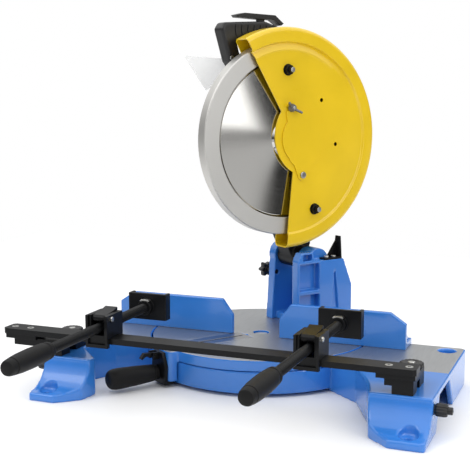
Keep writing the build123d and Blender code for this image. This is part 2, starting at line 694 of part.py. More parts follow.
def guard_body(shrink):
    x0, x1 = GUARD_X0 + shrink, GUARD_X1 - shrink
    radius = GUARD_R - shrink
    band = GUARD_R - GUARD_BAND + shrink
    points = [(x0, 0), (x0, radius), (x1, radius), (x1, band), (x1 - GUARD_STEP, band - 5),
              (x1 - GUARD_STEP, 0)]
    body = spun_x(points, 0, 0)
    rim = body.edges().filter_by(GeomType.CIRCLE).sort_by(lambda edge: edge.radius)[-2:]
    return Pos(0, BLADE_Y, BLADE_Z) * fillet(rim, 9 - shrink)


def guard_mouth():
    top = head_point(GUARD_R * 0.62, GUARD_R * 1.16)
    start = head_point(76, 146)
    knee = head_point(18, 52)
    bulge = head_point(COLLAR_R + 8, -2)
    waist = head_point(-10, -64)
    foot = head_point(6, -GUARD_R - 20)
    edges = [
        Line(top, start),
        Line(start, knee),
        ThreePointArc(knee, bulge, waist),
        Line(waist, foot),
        Line(foot, head_point(GUARD_R + 60, -GUARD_R - 20)),
        Line(head_point(GUARD_R + 60, -GUARD_R - 20), head_point(GUARD_R + 60, GUARD_R * 1.16)),
        Line(head_point(GUARD_R + 60, GUARD_R * 1.16), top),
    ]
    face = Plane.YZ.offset(GUARD_X0 - 10) * make_face(edges)
    return extrude(face, amount=GUARD_X1 - GUARD_X0 + 20, dir=(1, 0, 0))


STUDS = ((4, 130), (-62, -138))
COVER_AT = (-33.0, 0.0)
COVER_R = 50.0
COVER_SCREW = (-31.0, -70.0)
WING_NUT_AT = (-3.0, 59.0)
FACE_X = GUARD_X1 - GUARD_STEP


def upper_guard():
    shell = guard_body(0) - guard_body(GUARD_T)
    collar0 = FACE_X - GUARD_T - 5
    shell += rod_x(COLLAR_R, collar0, FACE_X - GUARD_T + 0.5, BLADE_Y, BLADE_Z)
    shell -= guard_mouth()
    shell -= rod_x(COLLAR_BORE, 0, GUARD_X1 + 1, BLADE_Y, BLADE_Z)
    shell -= rod_x(GEAR_R - 8, GUARD_X0 - 1, 0, BLADE_Y, BLADE_Z)
    for forward, up in ((-77, 73), (-113, -13)):
        shell -= rod_x(4, 0, GUARD_X1 + 1, *head_point(forward, up))
    return shell


def guard_studs():
    studs = []
    for forward, up in STUDS:
        y, z = head_point(forward, up)
        stud = hex_x(17, FACE_X, FACE_X + 8, y, z) + rod_x(5, FACE_X + 8, FACE_X + 16, y, z)
        studs.append(stud)
    y, z = head_point(*WING_NUT_AT)
    studs.append(rod_x(3, FACE_X, FACE_X + 13, y, z))
    return together(studs)


def arbor_cover():
    x0, x1 = FACE_X + 0.3, FACE_X + 2.8
    y, z = head_point(*COVER_AT)
    sy, sz = head_point(*COVER_SCREW)
    wy, wz = head_point(*WING_NUT_AT)
    cover = rod_x(COVER_R, x0, x1, y, z)
    cover += rod_x(10, x0, x1, sy, sz) + slab(x0, x1, sy - 10, sy + 10, sz, z)
    lug = [(wy - 11, wz - 2), (wy + 11, wz + 6), (y + 4, z + 44), (y - 44, z + 20)]
    cover += side_plate(lug, x0, x1) + rod_x(11, x0, x1, wy, wz)
    cover -= rod_x(3 + FIT, x0 - 1, x1 + 1, sy, sz)
    reach = hypot(wy - sy, wz - sz)
    along = ((sz - wz) / reach, (wy - sy) / reach)
    across = ((wy - sy) / reach, (wz - sz) / reach)
    slot_r = 4.0
    corners = []
    for ahead, aside in ((0, 1), (30, 1), (30, -1), (0, -1)):
        corners.append((wy + ahead * along[0] + aside * slot_r * across[0],
                        wz + ahead * along[1] + aside * slot_r * across[1]))
    slot = side_plate(corners, x0 - 1, x1 + 1) + rod_x(slot_r, x0 - 1, x1 + 1, wy, wz)
    return cover - slot


def cover_screw():
    y, z = head_point(*COVER_SCREW)
    return rod_x(3, FACE_X, FACE_X + 3.1, y, z) + rod_x(6.5, FACE_X + 3.1, FACE_X + 6, y, z)


def wing_nut():
    y, z = head_point(*WING_NUT_AT)
    x0 = FACE_X + 3.1
    nut = rod_x(8, x0, x0 + 8, y, z)
    ears = [(y - 20, x0 + 13), (y - 16, x0 + 15), (y, x0 + 7), (y + 16, x0 + 15), (y + 20, x0 + 13),
            (y + 7, x0 + 1), (y - 7, x0 + 1)]
    face = Plane.XY.offset(z - 2.5) * Polygon(*[(x, py) for py, x in ears], align=None)
    nut += extrude(face, amount=5, dir=(0, 0, 1))
    return nut - rod_x(3 + FIT, x0 - 1, x0 + 20, y, z)


def lower_guard():
    x1 = LOWER_X1
    x0 = x1 - LOWER_RIM
    flat_r = LOWER_R - LOWER_FLAT
    hub_x = FACE_X - GUARD_T - 0.6
    dish_x = hub_x - 4.0
    recess_x = x1 - LOWER_RECESS
    skirt_r = COLLAR_R + 12
    foot_r = COLLAR_R + 38
    outside = [(x1, LOWER_R), (x1, flat_r), (recess_x, flat_r - 5), (recess_x, foot_r), (dish_x, skirt_r)]
    inside = [(x - LOWER_T, radius) for x, radius in reversed(outside[1:])]
    hub = [(hub_x, COLLAR_R + 9), (hub_x, COLLAR_R + FIT), (dish_x - LOWER_T, COLLAR_R + FIT)]
    rim = [(x1 - LOWER_T, LOWER_R - LOWER_T), (x0, LOWER_R - LOWER_T), (x0, LOWER_R)]
    points = outside + hub + inside + rim
    dish = spun_x(points, BLADE_Y, BLADE_Z)
    reach = 3 * LOWER_R
    steps = 6
    span = 360 - (LOWER_TO - LOWER_FROM)
    away = [head_point(0, 0)]
    for index in range(steps + 1):
        angle = radians(LOWER_TO + span * index / steps)
        away.append(head_point(reach * cos(angle), reach * sin(angle)))
    wedge = side_plate(away, x0 - 1, FACE_X) - rod_x(COLLAR_R + 14, x0 - 2, FACE_X + 1, BLADE_Y, BLADE_Z)
    return dish - wedge


# Handle
HANDLE_X = -45.0
HANDLE_W = 30.0


def handle_frame():
    outer = [(103, 146), (121, 205), (113, 217), (22, 222), (-36, 205), (-44, 186), (-36, 150), (-12, 96),
             (40, 96), (84, 118)]
    inner = [(88, 184), (79, 154), (62, 134), (30, 124), (2, 130), (-12, 156), (-14, 184)]
    return outer, inner


def handle():
    outer, inner = handle_frame()
    x0, x1 = HANDLE_X - HANDLE_W / 2, HANDLE_X + HANDLE_W / 2
    loop = side_plate([head_point(*p) for p in outer], x0, x1)
    loop = fillet(loop.edges().filter_by(Axis.X), 8)
    loop = fillet(loop.edges().group_by(Axis.X)[0] + loop.edges().group_by(Axis.X)[-1], 5)
    loop -= side_plate([head_point(*p) for p in inner], x0 - 1, x1 + 1)
    neck = side_plate([head_point(*p) for p in ((58, 30), (66, 106), (-16, 106), (-40, 30))], x0 + 3, x1 - 3)
    neck -= gearbox_outline(2.5)
    body = loop + neck
    body -= trigger_slot()
    return body - paddle_slot()


GRIP_FRONT = (88.0, 184.0)
GRIP_SLOPE = 180.0
TRIGGER_STROKE = 6.0
PADDLE_PIN = (24.0, 215.0)
PADDLE_PIN_R = 2.5


def grip_point(along, into):
    angle = radians(GRIP_SLOPE)
    forward = GRIP_FRONT[0] + along * cos(angle) + into * sin(angle)
    up = GRIP_FRONT[1] + along * sin(angle) - into * cos(angle)
    return head_point(forward, up)


def trigger_slot():
    half = HANDLE_W / 2 - 7
    low, high = -4.0, 10.0 + TRIGGER_STROKE + 1.5
    points = [grip_point(13, low), grip_point(55, low), grip_point(55, high), grip_point(13, high)]
    return side_plate(points, HANDLE_X - half, HANDLE_X + half)


def trigger():
    half = HANDLE_W / 2 - 7.5
    outline = ((14, 10), (15, -6), (24, -15), (42, -13), (51, -4), (54, 10))
    return side_plate([grip_point(*p) for p in outline], HANDLE_X - half, HANDLE_X + half)


def paddle_slot():
    points = [head_point(*p) for p in ((38, 236), (38, 208), (10, 208), (10, 236))]
    y, z = head_point(*PADDLE_PIN)
    slot = side_plate(points, HANDLE_X - 5, HANDLE_X + 5)
    return slot + rod_x(PADDLE_PIN_R + FIT, HANDLE_X - 10, HANDLE_X + 10, y, z)


def lock_paddle():
    blade = [(84, 232), (80, 227.5), (30, 225.5), (0, 225.5), (-18, 215), (-24, 219), (-4, 234), (66, 236)]
    paddle = side_plate([head_point(*p) for p in blade], HANDLE_X - 11, HANDLE_X + 11)
    lug = [(32, 230), (29, 210.5), (19, 210.5), (16, 230)]
    paddle += side_plate([head_point(*p) for p in lug], HANDLE_X - 4.5, HANDLE_X + 4.5)
    y, z = head_point(*PADDLE_PIN)
    return paddle + rod_x(PADDLE_PIN_R, HANDLE_X - 9.5, HANDLE_X + 9.5, y, z)


def chip_deflector():
    points = [(182, 153), (178, 155), (96, 151), (82, 146), (82, 126), (100, 118), (124, 98), (136, 91)]
    x1 = HANDLE_X - HANDLE_W / 2
    return side_plate([head_point(*p) for p in points], x1 - DEFLECTOR_T, x1)


DEFLECTOR_T = 3.2


# Blade body
def saw_blade():
    points = []
    for index in range(BLADE_TEETH):
        base = 360.0 * index / BLADE_TEETH
        step = 360.0 / BLADE_TEETH
        for share, radius in ((0.0, BLADE_R), (0.12, BLADE_R - TOOTH_DEPTH), (0.45, BLADE_R - TOOTH_DEPTH),
                              (0.8, BLADE_R - 0.8)):
            angle = radians(base + share * step)
            points.append((BLADE_Y + radius * cos(angle), BLADE_Z + radius * sin(angle)))
    disc = side_plate(points, -BLADE_T / 2, BLADE_T / 2)
    return disc - rod_x(ARBOR_R + FIT, -BLADE_T, BLADE_T, BLADE_Y, BLADE_Z)


def blade_flanges():
    half = BLADE_T / 2
    inner = ring_x(FLANGE_R, ARBOR_R + FIT, -half - FLANGE_IN_T, -half, BLADE_Y, BLADE_Z)
    outer = ring_x(FLANGE_R, ARBOR_R + FIT, half, half + FLANGE_OUT_T, BLADE_Y, BLADE_Z)
    return together([inner, outer])


def arbor_spindle():
    half = BLADE_T / 2
    shoulder = -half - FLANGE_IN_T
    shaft = rod_x(SPINDLE_R, BOX_X0 + 5, shoulder, BLADE_Y, BLADE_Z)
    shaft += rod_x(ARBOR_R, shoulder, half + FLANGE_OUT_T - 0.3, BLADE_Y, BLADE_Z)
    return shaft - rod_x(5, half + FLANGE_OUT_T - 24, half + FLANGE_OUT_T, BLADE_Y, BLADE_Z)


def arbor_bolt():
    x0 = BLADE_T / 2 + FLANGE_OUT_T
    bolt = rod_x(COLLAR_BORE - 1, x0, x0 + 2, BLADE_Y, BLADE_Z)
    bolt += hex_x(2 * BOLT_HEAD_R * 0.866, x0 + 2, x0 + 2 + BOLT_HEAD_H, BLADE_Y, BLADE_Z)
    return bolt + rod_x(5 - FIT, x0 - 22, x0, BLADE_Y, BLADE_Z)


def toothed(teeth, first_angle, x0, x1, y, z):
    pitch_r = GEAR_MODULE * teeth / 2
    tip = pitch_r + 0.7 * GEAR_MODULE
    root = pitch_r - 1.0 * GEAR_MODULE
    step = 360.0 / teeth
    points = []
    for index in range(teeth):
        for share, radius in ((-0.30, root), (-0.12, tip), (0.12, tip), (0.30, root)):
            angle = radians(first_angle + step * (index + share))
            points.append((y + radius * cos(angle), z + radius * sin(angle)))
    return side_plate(points, x0, x1)


def drive_gear():
    gear = toothed(GEAR_TEETH, MOTOR_TILT + 180.0 / GEAR_TEETH, GEAR_X0, GEAR_X0 + GEAR_W, BLADE_Y, BLADE_Z)
    return gear - rod_x(SPINDLE_R, GEAR_X0 - 1, GEAR_X0 + GEAR_W + 1, BLADE_Y, BLADE_Z)


def armature():
    x_end = BOX_X0 - MOTOR_LEN - 10
    gear_x1 = GEAR_X0 + GEAR_W
    body = rod_x(SHAFT_R, x_end, gear_x1 + SMALL_BEARING_W, MOTOR_Y, MOTOR_Z)
    body += toothed(PINION_TEETH, MOTOR_TILT + 180.0, GEAR_X0, gear_x1, MOTOR_Y, MOTOR_Z)
    body += rod_x(25, BOX_X0 - MOTOR_LEN + 52, BOX_X0 - 40, MOTOR_Y, MOTOR_Z)
    return body + rod_x(14, BOX_X0 - MOTOR_LEN + 14, BOX_X0 - MOTOR_LEN + 36, MOTOR_Y, MOTOR_Z)


def cooling_fan():
    x0, x1 = BOX_X0 - 32, BOX_X0 - 12
    fan = ring_x(38, SHAFT_R, x1 - 3, x1, MOTOR_Y, MOTOR_Z) + ring_x(14, SHAFT_R, x0, x1, MOTOR_Y, MOTOR_Z)
    for index in range(8):
        blade = slab(x0 + 4, x1 - 1, -1.2, 1.2, 12, 37)
        fan += Pos(0, MOTOR_Y, MOTOR_Z) * Rot(45 * index, 0, 0) * blade
    return fan


def field_core():
    x0, x1 = BOX_X0 - MOTOR_LEN + 52, BOX_X0 - 40
    return ring_x(MOTOR_R - MOTOR_WALL, 27, x0, x1, MOTOR_Y, MOTOR_Z)


# Vise
KNOB_Y = -232.0
KNOB_INSET_RIGHT = 48.0
KNOB_INSET_LEFT = 17.0
KNOB_PAD = 17.0
KNOB_R = 20.0
KNOB_H = 9.0
RAIL_FOOT = 62.0
FOOT_TOP = RAIL_Z0 - 8.0


def rail_foot_span(side):
    end = RAIL_X1 if side > 0 else RAIL_X0
    ends = sorted((end - side * 2, end - side * (2 + RAIL_FOOT)))
    return ends[0], ends[1]


def knob_x(side):
    return RIGHT_OUT - KNOB_INSET_RIGHT if side > 0 else KNOB_INSET_LEFT - LEFT_OUT


def vise_rail():
    rail = slab(RAIL_X0, RAIL_X1, RAIL_Y0, RAIL_Y1, RAIL_Z0, RAIL_TOP)
    corners = rail.edges().filter_by(Axis.Z)
    rail = chamfer(corners, 5)
    for x in rail_screw_x():
        rail -= rod_z(3.5, RAIL_Z0 - 1, RAIL_TOP + 1, x, RAIL_Y0 + RAIL_W / 2)
        rail -= Pos(x, RAIL_Y0 + RAIL_W / 2, RAIL_TOP - 3) * Cone(3.5, 6.5, 3, align=(MID, MID, LOW))
    return rail


def rail_screw_x():
    return (RAIL_X0 + 14, RAIL_X0 + 46, RAIL_X1 - 46, RAIL_X1 - 14)


def rail_brackets():
    feet = []
    for side in (1, -1):
        x0, x1 = rail_foot_span(side)
        tongue = knob_x(side)
        pad0, pad1 = tongue - KNOB_PAD, tongue + KNOB_PAD
        knob_back = KNOB_Y + KNOB_PAD + 1
        foot = slab(x0, x1, RAIL_Y0 + 6, RAIL_Y1, FOOT_TOP - 1, RAIL_Z0)
        foot += slab(min(x0 + 12, pad0), max(x1 - 12, pad1), RAIL_Y0 + 14, RAIL_Y1, FOOT_TOP - 14, FOOT_TOP)
        foot += slab(pad0, pad1, RAIL_Y0 + 14, knob_back, TABLE_Z, FOOT_TOP)
        foot -= slab(pad0 - 1, pad1 + 1, RAIL_Y1 + 4, KNOB_Y - KNOB_PAD, TABLE_Z - 1, FOOT_TOP - 12)
        foot -= rod_z(5, TABLE_Z - 1, FOOT_TOP + 1, tongue, KNOB_Y)
        for x in rail_screw_x():
            if x0 < x < x1:
                foot -= rod_z(3, RAIL_Z0 - 8, RAIL_Z0 + 1, x, RAIL_Y0 + RAIL_W / 2)
        feet.append(foot)
    return together(feet)


def rail_screws():
    screws = []
    for x in rail_screw_x():
        y = RAIL_Y0 + RAIL_W / 2
        screw = rod_z(3, RAIL_Z0 - 7, RAIL_TOP - 3, x, y)
        screw += Pos(x, y, RAIL_TOP - 3) * Cone(3, 6.3, 2.8, align=(MID, MID, LOW))
        screws.append(screw)
    return together(screws)


def rail_knob(side):
    x = knob_x(side)
    z0 = FOOT_TOP + 0.3
    knob = Pos(x, KNOB_Y, z0) * lobed(KNOB_R, 8, 4, 0, KNOB_H)
    return knob + rod_z(5 - FIT, TABLE_Z - WALL + 1, z0, x, KNOB_Y)


def clamp_block(x):
    half = BLOCK_W / 2
    y0, y1 = RAIL_Y0 - BLOCK_WALL, RAIL_Y1 + BLOCK_WALL
    z0 = RAIL_Z0 - 6
    z1 = z0 + BLOCK_H
    block = slab(x - half, x + half, y0, y1, z0, z1)
    block -= slab(x - half - 1, x + half + 1, RAIL_Y0 - SLIDE_GAP, RAIL_Y1 + SLIDE_GAP, z0 - 1,
                  RAIL_TOP + SLIDE_GAP)
    block -= slab(x - NUT_W / 2 - 0.5, x + NUT_W / 2 + 0.5, y0 + 4, y1 - 4, RAIL_TOP + 5, z1 + 1)
    block -= slab(x - 12, x + 12, y0 - 1, y0 + 5, SCREW_Z - 10, z1 - 6)
    block -= slab(x - NUT_W / 2 - 0.5, x + NUT_W / 2 + 0.5, RAIL_Y0 + 18, RAIL_Y1 - 2, z1 - 14, z1 + 1)
    block -= rod_y(SCREW_R + 0.4, y0 - 1, y1 + 1, x, SCREW_Z)
    return block + rod_x(NUT_PIN_R, x - half - 3, x + half + 3, NUT_PIN_Y, NUT_PIN_Z)


NUT_W = 24.0
NUT_PIN_R = 4.0
NUT_PIN_Y = RAIL_Y0 + 6.0
NUT_PIN_Z = RAIL_Z0 - 6 + BLOCK_H - 7.0


def half_nut(x):
    half = NUT_W / 2
    y0, y1 = NUT_PIN_Y, RAIL_Y1
    body = rod_x(6.5, x - half, x + half, NUT_PIN_Y, NUT_PIN_Z)
    top = NUT_PIN_Z + 5
    profile = [(y0, NUT_PIN_Z - 6.5), (y0 + 8, SCREW_Z + 3), (y1 - 6, SCREW_Z + 3), (y1 - 4, top),
               (y1 + 8, top + 3), (y1 + 8, top + 8), (y1 - 8, top + 4), (y0, NUT_PIN_Z + 6.5)]
    body += side_plate(profile, x - half, x + half)
    body -= rod_x(NUT_PIN_R + FIT, x - half - 1, x + half + 1, NUT_PIN_Y, NUT_PIN_Z)
    return body - rod_y(SCREW_R + 0.4, y0 - 20, y1 + 20, x, SCREW_Z)


def clamp_pad(x):
    plate = slab(x - 39, x + 39, PAD_Y - 8, PAD_Y, SCREW_Z - 25, SCREW_Z + 25)
    for side in (1, -1):
        ends = sorted((x + side * 33, x + side * 39))
        plate += slab(ends[0], ends[1], PAD_Y - 1, PAD_Y + 12, SCREW_Z - 25, SCREW_Z + 25)
    plate = plate + rod_y(14, PAD_Y - 22, PAD_Y - 8, x, SCREW_Z)
    plate -= rod_y(SCREW_TIP_R + FIT, PAD_Y - 23, PAD_Y - 7, x, SCREW_Z)
    return plate


SCREW_TIP_R = 6.5


def clamp_screw(x):
    end = CLAMP_GRIP_END + CLAMP_GRIP_LEN
    screw = rod_y(SCREW_R, end, PAD_Y - 23, x, SCREW_Z)
    screw += rod_y(SCREW_TIP_R, PAD_Y - 23, PAD_Y - 8, x, SCREW_Z)
    return screw + rod_y(SCREW_TIP_R, CLAMP_GRIP_END + 14, end, x, SCREW_Z)


def clamp_grip(x):
    end = CLAMP_GRIP_END + CLAMP_GRIP_LEN
    grip = cone_y(CLAMP_GRIP_R - 3, CLAMP_GRIP_R, CLAMP_GRIP_END + 3, end - 14, x, SCREW_Z)
    grip += cone_y(CLAMP_GRIP_R - 6, CLAMP_GRIP_R - 3, CLAMP_GRIP_END, CLAMP_GRIP_END + 3, x, SCREW_Z)
    grip += cone_y(CLAMP_GRIP_R, CLAMP_GRIP_R - 3, end - 14, end, x, SCREW_Z)
    return grip - rod_y(SCREW_TIP_R, CLAMP_GRIP_END + 14, end + 1, x, SCREW_Z)


# All nodes
def nodes():
    fixed = {
        "base_casting": base_casting(),
        "fence": fence(),
        "fence_bolts": fence_bolts(),
        "pivot_bolt": pivot_bolt(),
        "detent_plate": detent_plate(),
        "side_screw_left": side_screw(-1),
        "side_screw_right": side_screw(1),
        "vise_rail": vise_rail(),
        "rail_brackets": rail_brackets(),
        "rail_screws": rail_screws(),
        "rail_knob_left": rail_knob(-1),
        "rail_knob_right": rail_knob(1),
    }
    for name, x in (("left", CLAMP_X_LEFT), ("right", CLAMP_X_RIGHT)):
        fixed["clamp_block_" + name] = clamp_block(x)
        fixed["half_nut_" + name] = half_nut(x)
        fixed["clamp_pad_" + name] = clamp_pad(x)
        fixed["clamp_screw_" + name] = clamp_screw(x)
        fixed["clamp_grip_" + name] = clamp_grip(x)
    turning = {
        "turntable": turntable(),
        "kerf_plate": kerf_plate(),
        "pivot_column": pivot_column(),
        "pivot_shaft": pivot_shaft(),
        "return_spring": return_spring(),
        "stop_bracket": stop_bracket(),
        "stop_bracket_screws": stop_bracket_screws(),
        "mitre_bracket": mitre_bracket(),
        "detent_lever": detent_lever(),
        "mitre_grip": mitre_grip(),
        "hold_down_pin": hold_down_pin(),
        "head_arm": head_arm(),
        "gearbox_housing": gearbox_housing(),
        "arbor_bearings": arbor_bearings(),
        "armature_bearings": armature_bearings(),
        "motor_housing": motor_housing(),
        "motor_end_cap": motor_end_cap(),
        "brush_caps": brush_caps(),
        "field_core": field_core(),
        "cord_gland": cord_gland(),
        "upper_guard": upper_guard(),
        "guard_studs": guard_studs(),
        "cover_screw": cover_screw(),
        "arbor_cover": arbor_cover(),
        "wing_nut": wing_nut(),
        "lower_guard": lower_guard(),
        "handle": handle(),
        "trigger": trigger(),
        "lock_paddle": lock_paddle(),
        "chip_deflector": chip_deflector(),
        "saw_blade": saw_blade(),
        "blade_flanges": blade_flanges(),
        "arbor_bolt": arbor_bolt(),
        "arbor_spindle": arbor_spindle(),
        "drive_gear": drive_gear(),
        "armature": armature(),
        "cooling_fan": cooling_fan(),
    }
    for name, shape in turning.items():
        fixed[name] = swung(shape)
    return fixed


os.makedirs("parts", exist_ok=True)
for node, solid in nodes().items():
    export_step(solid, "parts/" + node + ".step")
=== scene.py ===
import json
import math
import bmesh
import bpy
from mathutils import Matrix, Vector


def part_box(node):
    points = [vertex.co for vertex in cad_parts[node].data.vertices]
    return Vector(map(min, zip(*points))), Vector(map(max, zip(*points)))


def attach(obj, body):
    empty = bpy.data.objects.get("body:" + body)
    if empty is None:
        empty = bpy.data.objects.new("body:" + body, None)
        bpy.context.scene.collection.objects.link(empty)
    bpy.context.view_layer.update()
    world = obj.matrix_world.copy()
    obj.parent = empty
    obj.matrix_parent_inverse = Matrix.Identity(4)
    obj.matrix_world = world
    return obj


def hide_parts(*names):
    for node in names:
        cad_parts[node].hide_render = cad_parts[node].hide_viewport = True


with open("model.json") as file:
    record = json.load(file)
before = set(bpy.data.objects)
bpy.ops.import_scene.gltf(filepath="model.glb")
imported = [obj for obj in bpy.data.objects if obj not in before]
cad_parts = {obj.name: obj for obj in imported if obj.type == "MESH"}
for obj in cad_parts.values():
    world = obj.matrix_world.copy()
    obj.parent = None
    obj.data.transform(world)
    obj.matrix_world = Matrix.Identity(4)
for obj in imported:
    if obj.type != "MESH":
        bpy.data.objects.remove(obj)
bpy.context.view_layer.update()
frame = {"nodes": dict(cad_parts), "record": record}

# Lengths are in millimetres, and MM turns them into Blender's metres.
MM = 0.001
REST_MITRE = 35.0
BLADE_Y = 50.0
BLADE_Z = 441.0
AXLE = (BLADE_Y, BLADE_Z)
TABLE_Z = 67.0
SWUNG = Matrix.Rotation(math.radians(-REST_MITRE), 4, "Z")
SLOT_OF = {entry["node"]: entry["material_slot"] for entry in frame["record"]["subparts"]}
BODY_OF = {node: body for body, nodes in frame["record"]["behaviour"]["bodies"].items() for node in nodes}


# Finishes: a Signal is one value on its way through a finish, and arithmetic on it adds the nodes.
class Signal:
    def __init__(self, finish, socket):
        self.finish = finish
        self.socket = socket

    def _with(self, operation, first, second):
        return self.finish.node("ShaderNodeMath", {"operation": operation}, {0: first, 1: second})

    def __add__(self, other):
        return self._with("ADD", self, other)

    __radd__ = __add__

    def __mul__(self, other):
        return self._with("MULTIPLY", self, other)

    __rmul__ = __mul__

    def __sub__(self, other):
        return self._with("SUBTRACT", self, other)

    def __rsub__(self, other):
        return self._with("SUBTRACT", other, self)

    def __pow__(self, other):
        return self._with("POWER", self, other)

    def __rpow__(self, other):
        return self._with("POWER", other, self)

    def __gt__(self, other):
        return self._with("GREATER_THAN", self, other)

    def __lt__(self, other):
        return self._with("LESS_THAN", self, other)


class Finish:
    def __init__(self, name, color, roughness, metallic=0.0, **constants):
        self.material = bpy.data.materials.new(name)
        self.material.use_nodes = True
        self.tree = self.material.node_tree
        self.shader = self.tree.nodes["Principled BSDF"]
        self.shader.inputs["Base Color"].default_value = (*color, 1.0)
        self.shader.inputs["Roughness"].default_value = roughness
        self.shader.inputs["Metallic"].default_value = metallic
        for socket, value in constants.items():
            self.shader.inputs[socket.replace("_", " ")].default_value = value

    def node(self, kind, settings=None, sockets=None, output=0):
        made = self.tree.nodes.new(kind)
        for name, value in (settings or {}).items():
            setattr(made, name, value)
        for name, value in (sockets or {}).items():
            self.put(made.inputs[name], value)
        return Signal(self, made.outputs[output])

    def put(self, socket, value):
        if isinstance(value, Signal):
            self.tree.links.new(value.socket, socket)
        elif isinstance(value, tuple) and len(value) == 3 and socket.type == "RGBA":
            socket.default_value = (*value, 1.0)
        else:
            socket.default_value = value

    def feed(self, socket, value):
        self.put(self.shader.inputs[socket], value)

    def place(self):
        return self.node("ShaderNodeTexCoord", output="Object")

    def part_of(self, vector, axis):
        return self.node("ShaderNodeSeparateXYZ", sockets={0: vector}, output=axis)

    def mapped(self, scale=(1.0, 1.0, 1.0), turn=0.0):
        return self.node("ShaderNodeMapping", {"vector_type": "POINT"}, {
            "Vector": self.place(), "Scale": scale, "Rotation": (0.0, 0.0, math.radians(turn))})

    def noise(self, scale, detail=3.0, roughness=0.5, vector=None):
        return self.node("ShaderNodeTexNoise", {}, {
            "Vector": vector or self.place(), "Scale": scale, "Detail": detail, "Roughness": roughness})

    def mix(self, factor, first, second):
        return self.node("ShaderNodeMix", {"data_type": "RGBA"}, {
            "Factor": factor, "A": first, "B": second}, output=2)

    def spread(self, value, low, high, first, last):
        return self.node("ShaderNodeMapRange", {"interpolation_type": "SMOOTHSTEP"}, {
            0: value, 1: low, 2: high, 3: first, 4: last})

    def facing(self, axis):
        return self.part_of(self.node("ShaderNodeNewGeometry", output="Normal"), axis)

    def bump(self, height, strength, distance):
        return self.node("ShaderNodeBump", {}, {
            "Height": height, "Strength": strength, "Distance": distance})


class Sky(Finish):
    def __init__(self, world):
        world.use_nodes = True
        self.tree = world.node_tree
        self.shader = self.tree.nodes["Background"]


def shade(color, factor):
    return tuple(channel * factor for channel in color)


MILLED_DARK = (0.3, 0.31, 0.32)
MILLED_BRIGHT = (0.52, 0.53, 0.54)
MILLED_SKIN = 0.6
LEVEL_FACING = 0.9
SATIN_STEP = 0.35
RING_LINES = 1100.0
NO_SATIN = 1000.0


# Level tops that lie behind milled_from, where it is given, are bare milled metal.
def enamel(name, color, roughness, peel, milled_from=None):
    finish = Finish(name, color, roughness, Coat_Roughness=0.06, Specular_IOR_Level=0.5)
    cloud = finish.noise(9.0, 4.0)
    grain = finish.noise(420.0, 2.0)
    paint = finish.mix(cloud, shade(color, 0.84), shade(color, 1.14))
    rough = roughness + (cloud - 0.5) * 0.12 + (grain - 0.5) * 0.05
    coat = 0.4 + cloud * 0.2
    height = grain
    if milled_from is not None:
        top = finish.part_of(finish.place(), 2) > (TABLE_Z - MILLED_SKIN) * MM
        behind = finish.part_of(finish.place(), 1) > milled_from * MM
        bare = top * behind * (finish.facing(2) > LEVEL_FACING)
        lines = finish.noise(1.0, 4.0, 0.6, finish.mapped((700.0, 26.0, 26.0)))
        metal = finish.mix(lines, MILLED_DARK, MILLED_BRIGHT)
        paint = finish.mix(bare, paint, metal)
        rough = rough * (1.0 - bare) + (0.3 + lines * 0.16) * bare
        coat = coat * (1.0 - bare)
        height = grain * (1.0 - bare) + lines * bare
        finish.feed("Metallic", bare * 0.9)
    finish.feed("Base Color", paint)
    finish.feed("Roughness", rough)
    finish.feed("Coat Weight", coat)
    finish.feed("Normal", finish.bump(height, peel, 0.0004))
    return finish


def moulded(name, color, roughness, texture, gloss):
    finish = Finish(name, color, roughness, Specular_IOR_Level=gloss)
    cloud = finish.noise(14.0, 3.0)
    grain = finish.noise(900.0, 2.0, 0.6)
    finish.feed("Base Color", finish.mix(cloud, shade(color, 0.7), shade(color, 1.4)))
    finish.feed("Roughness", roughness + (cloud - 0.5) * 0.14 + (grain - 0.5) * 0.1)
    finish.feed("Normal", finish.bump(grain, texture, 0.0003))
    return finish


def bare_metal(name, color, roughness, streak):
    finish = Finish(name, color, roughness, 1.0)
    cloud = finish.noise(11.0, 4.0)
    lines = finish.noise(1.0, 5.0, 0.65, finish.mapped(streak))
    finish.feed("Base Color", finish.mix(cloud * 0.6 + lines * 0.4, shade(color, 0.8), shade(color, 1.12)))
    finish.feed("Roughness", roughness + (lines - 0.5) * 0.2 + (cloud - 0.5) * 0.08)
    finish.feed("Normal", finish.bump(lines, 0.06, 0.0002))
    return finish


# Fine rings run round the blade's axle, and the metal turns satin beyond the radius satin_from.
def spun_metal(name, color, roughness, relief, satin_from=NO_SATIN):
    finish = Finish(name, color, roughness, 1.0)
    straight = finish.mapped(turn=REST_MITRE)
    back = finish.part_of(straight, 1) - BLADE_Y * MM
    up = finish.part_of(straight, 2) - BLADE_Z * MM
    radius = (back * back + up * up) ** 0.5
    ring = finish.node("ShaderNodeCombineXYZ", sockets={0: radius * RING_LINES, 1: back * 3.0, 2: up * 3.0})
    lines = finish.noise(1.0, 4.0, 0.6, ring)
    cloud = finish.noise(7.0, 3.0)
    finish.feed("Base Color", finish.mix(cloud * 0.8 + lines * 0.2, shade(color, 0.86), shade(color, 1.08)))
    satin = (radius > satin_from * MM) * SATIN_STEP
    finish.feed("Roughness", roughness + satin + (lines - 0.5) * 0.08 + (cloud - 0.5) * 0.06)
    finish.feed("Normal", finish.bump(lines, relief, 0.0002))
    return finish


def clear_sheet(name):
    finish = Finish(name, (0.96, 0.97, 0.97), 0.2, Specular_IOR_Level=0.5)
    haze = finish.noise(16.0, 4.0)
    finish.feed("Roughness", 0.14 + haze * 0.2)
    finish.feed("Alpha", 0.2 + haze * 0.14)
    return finish


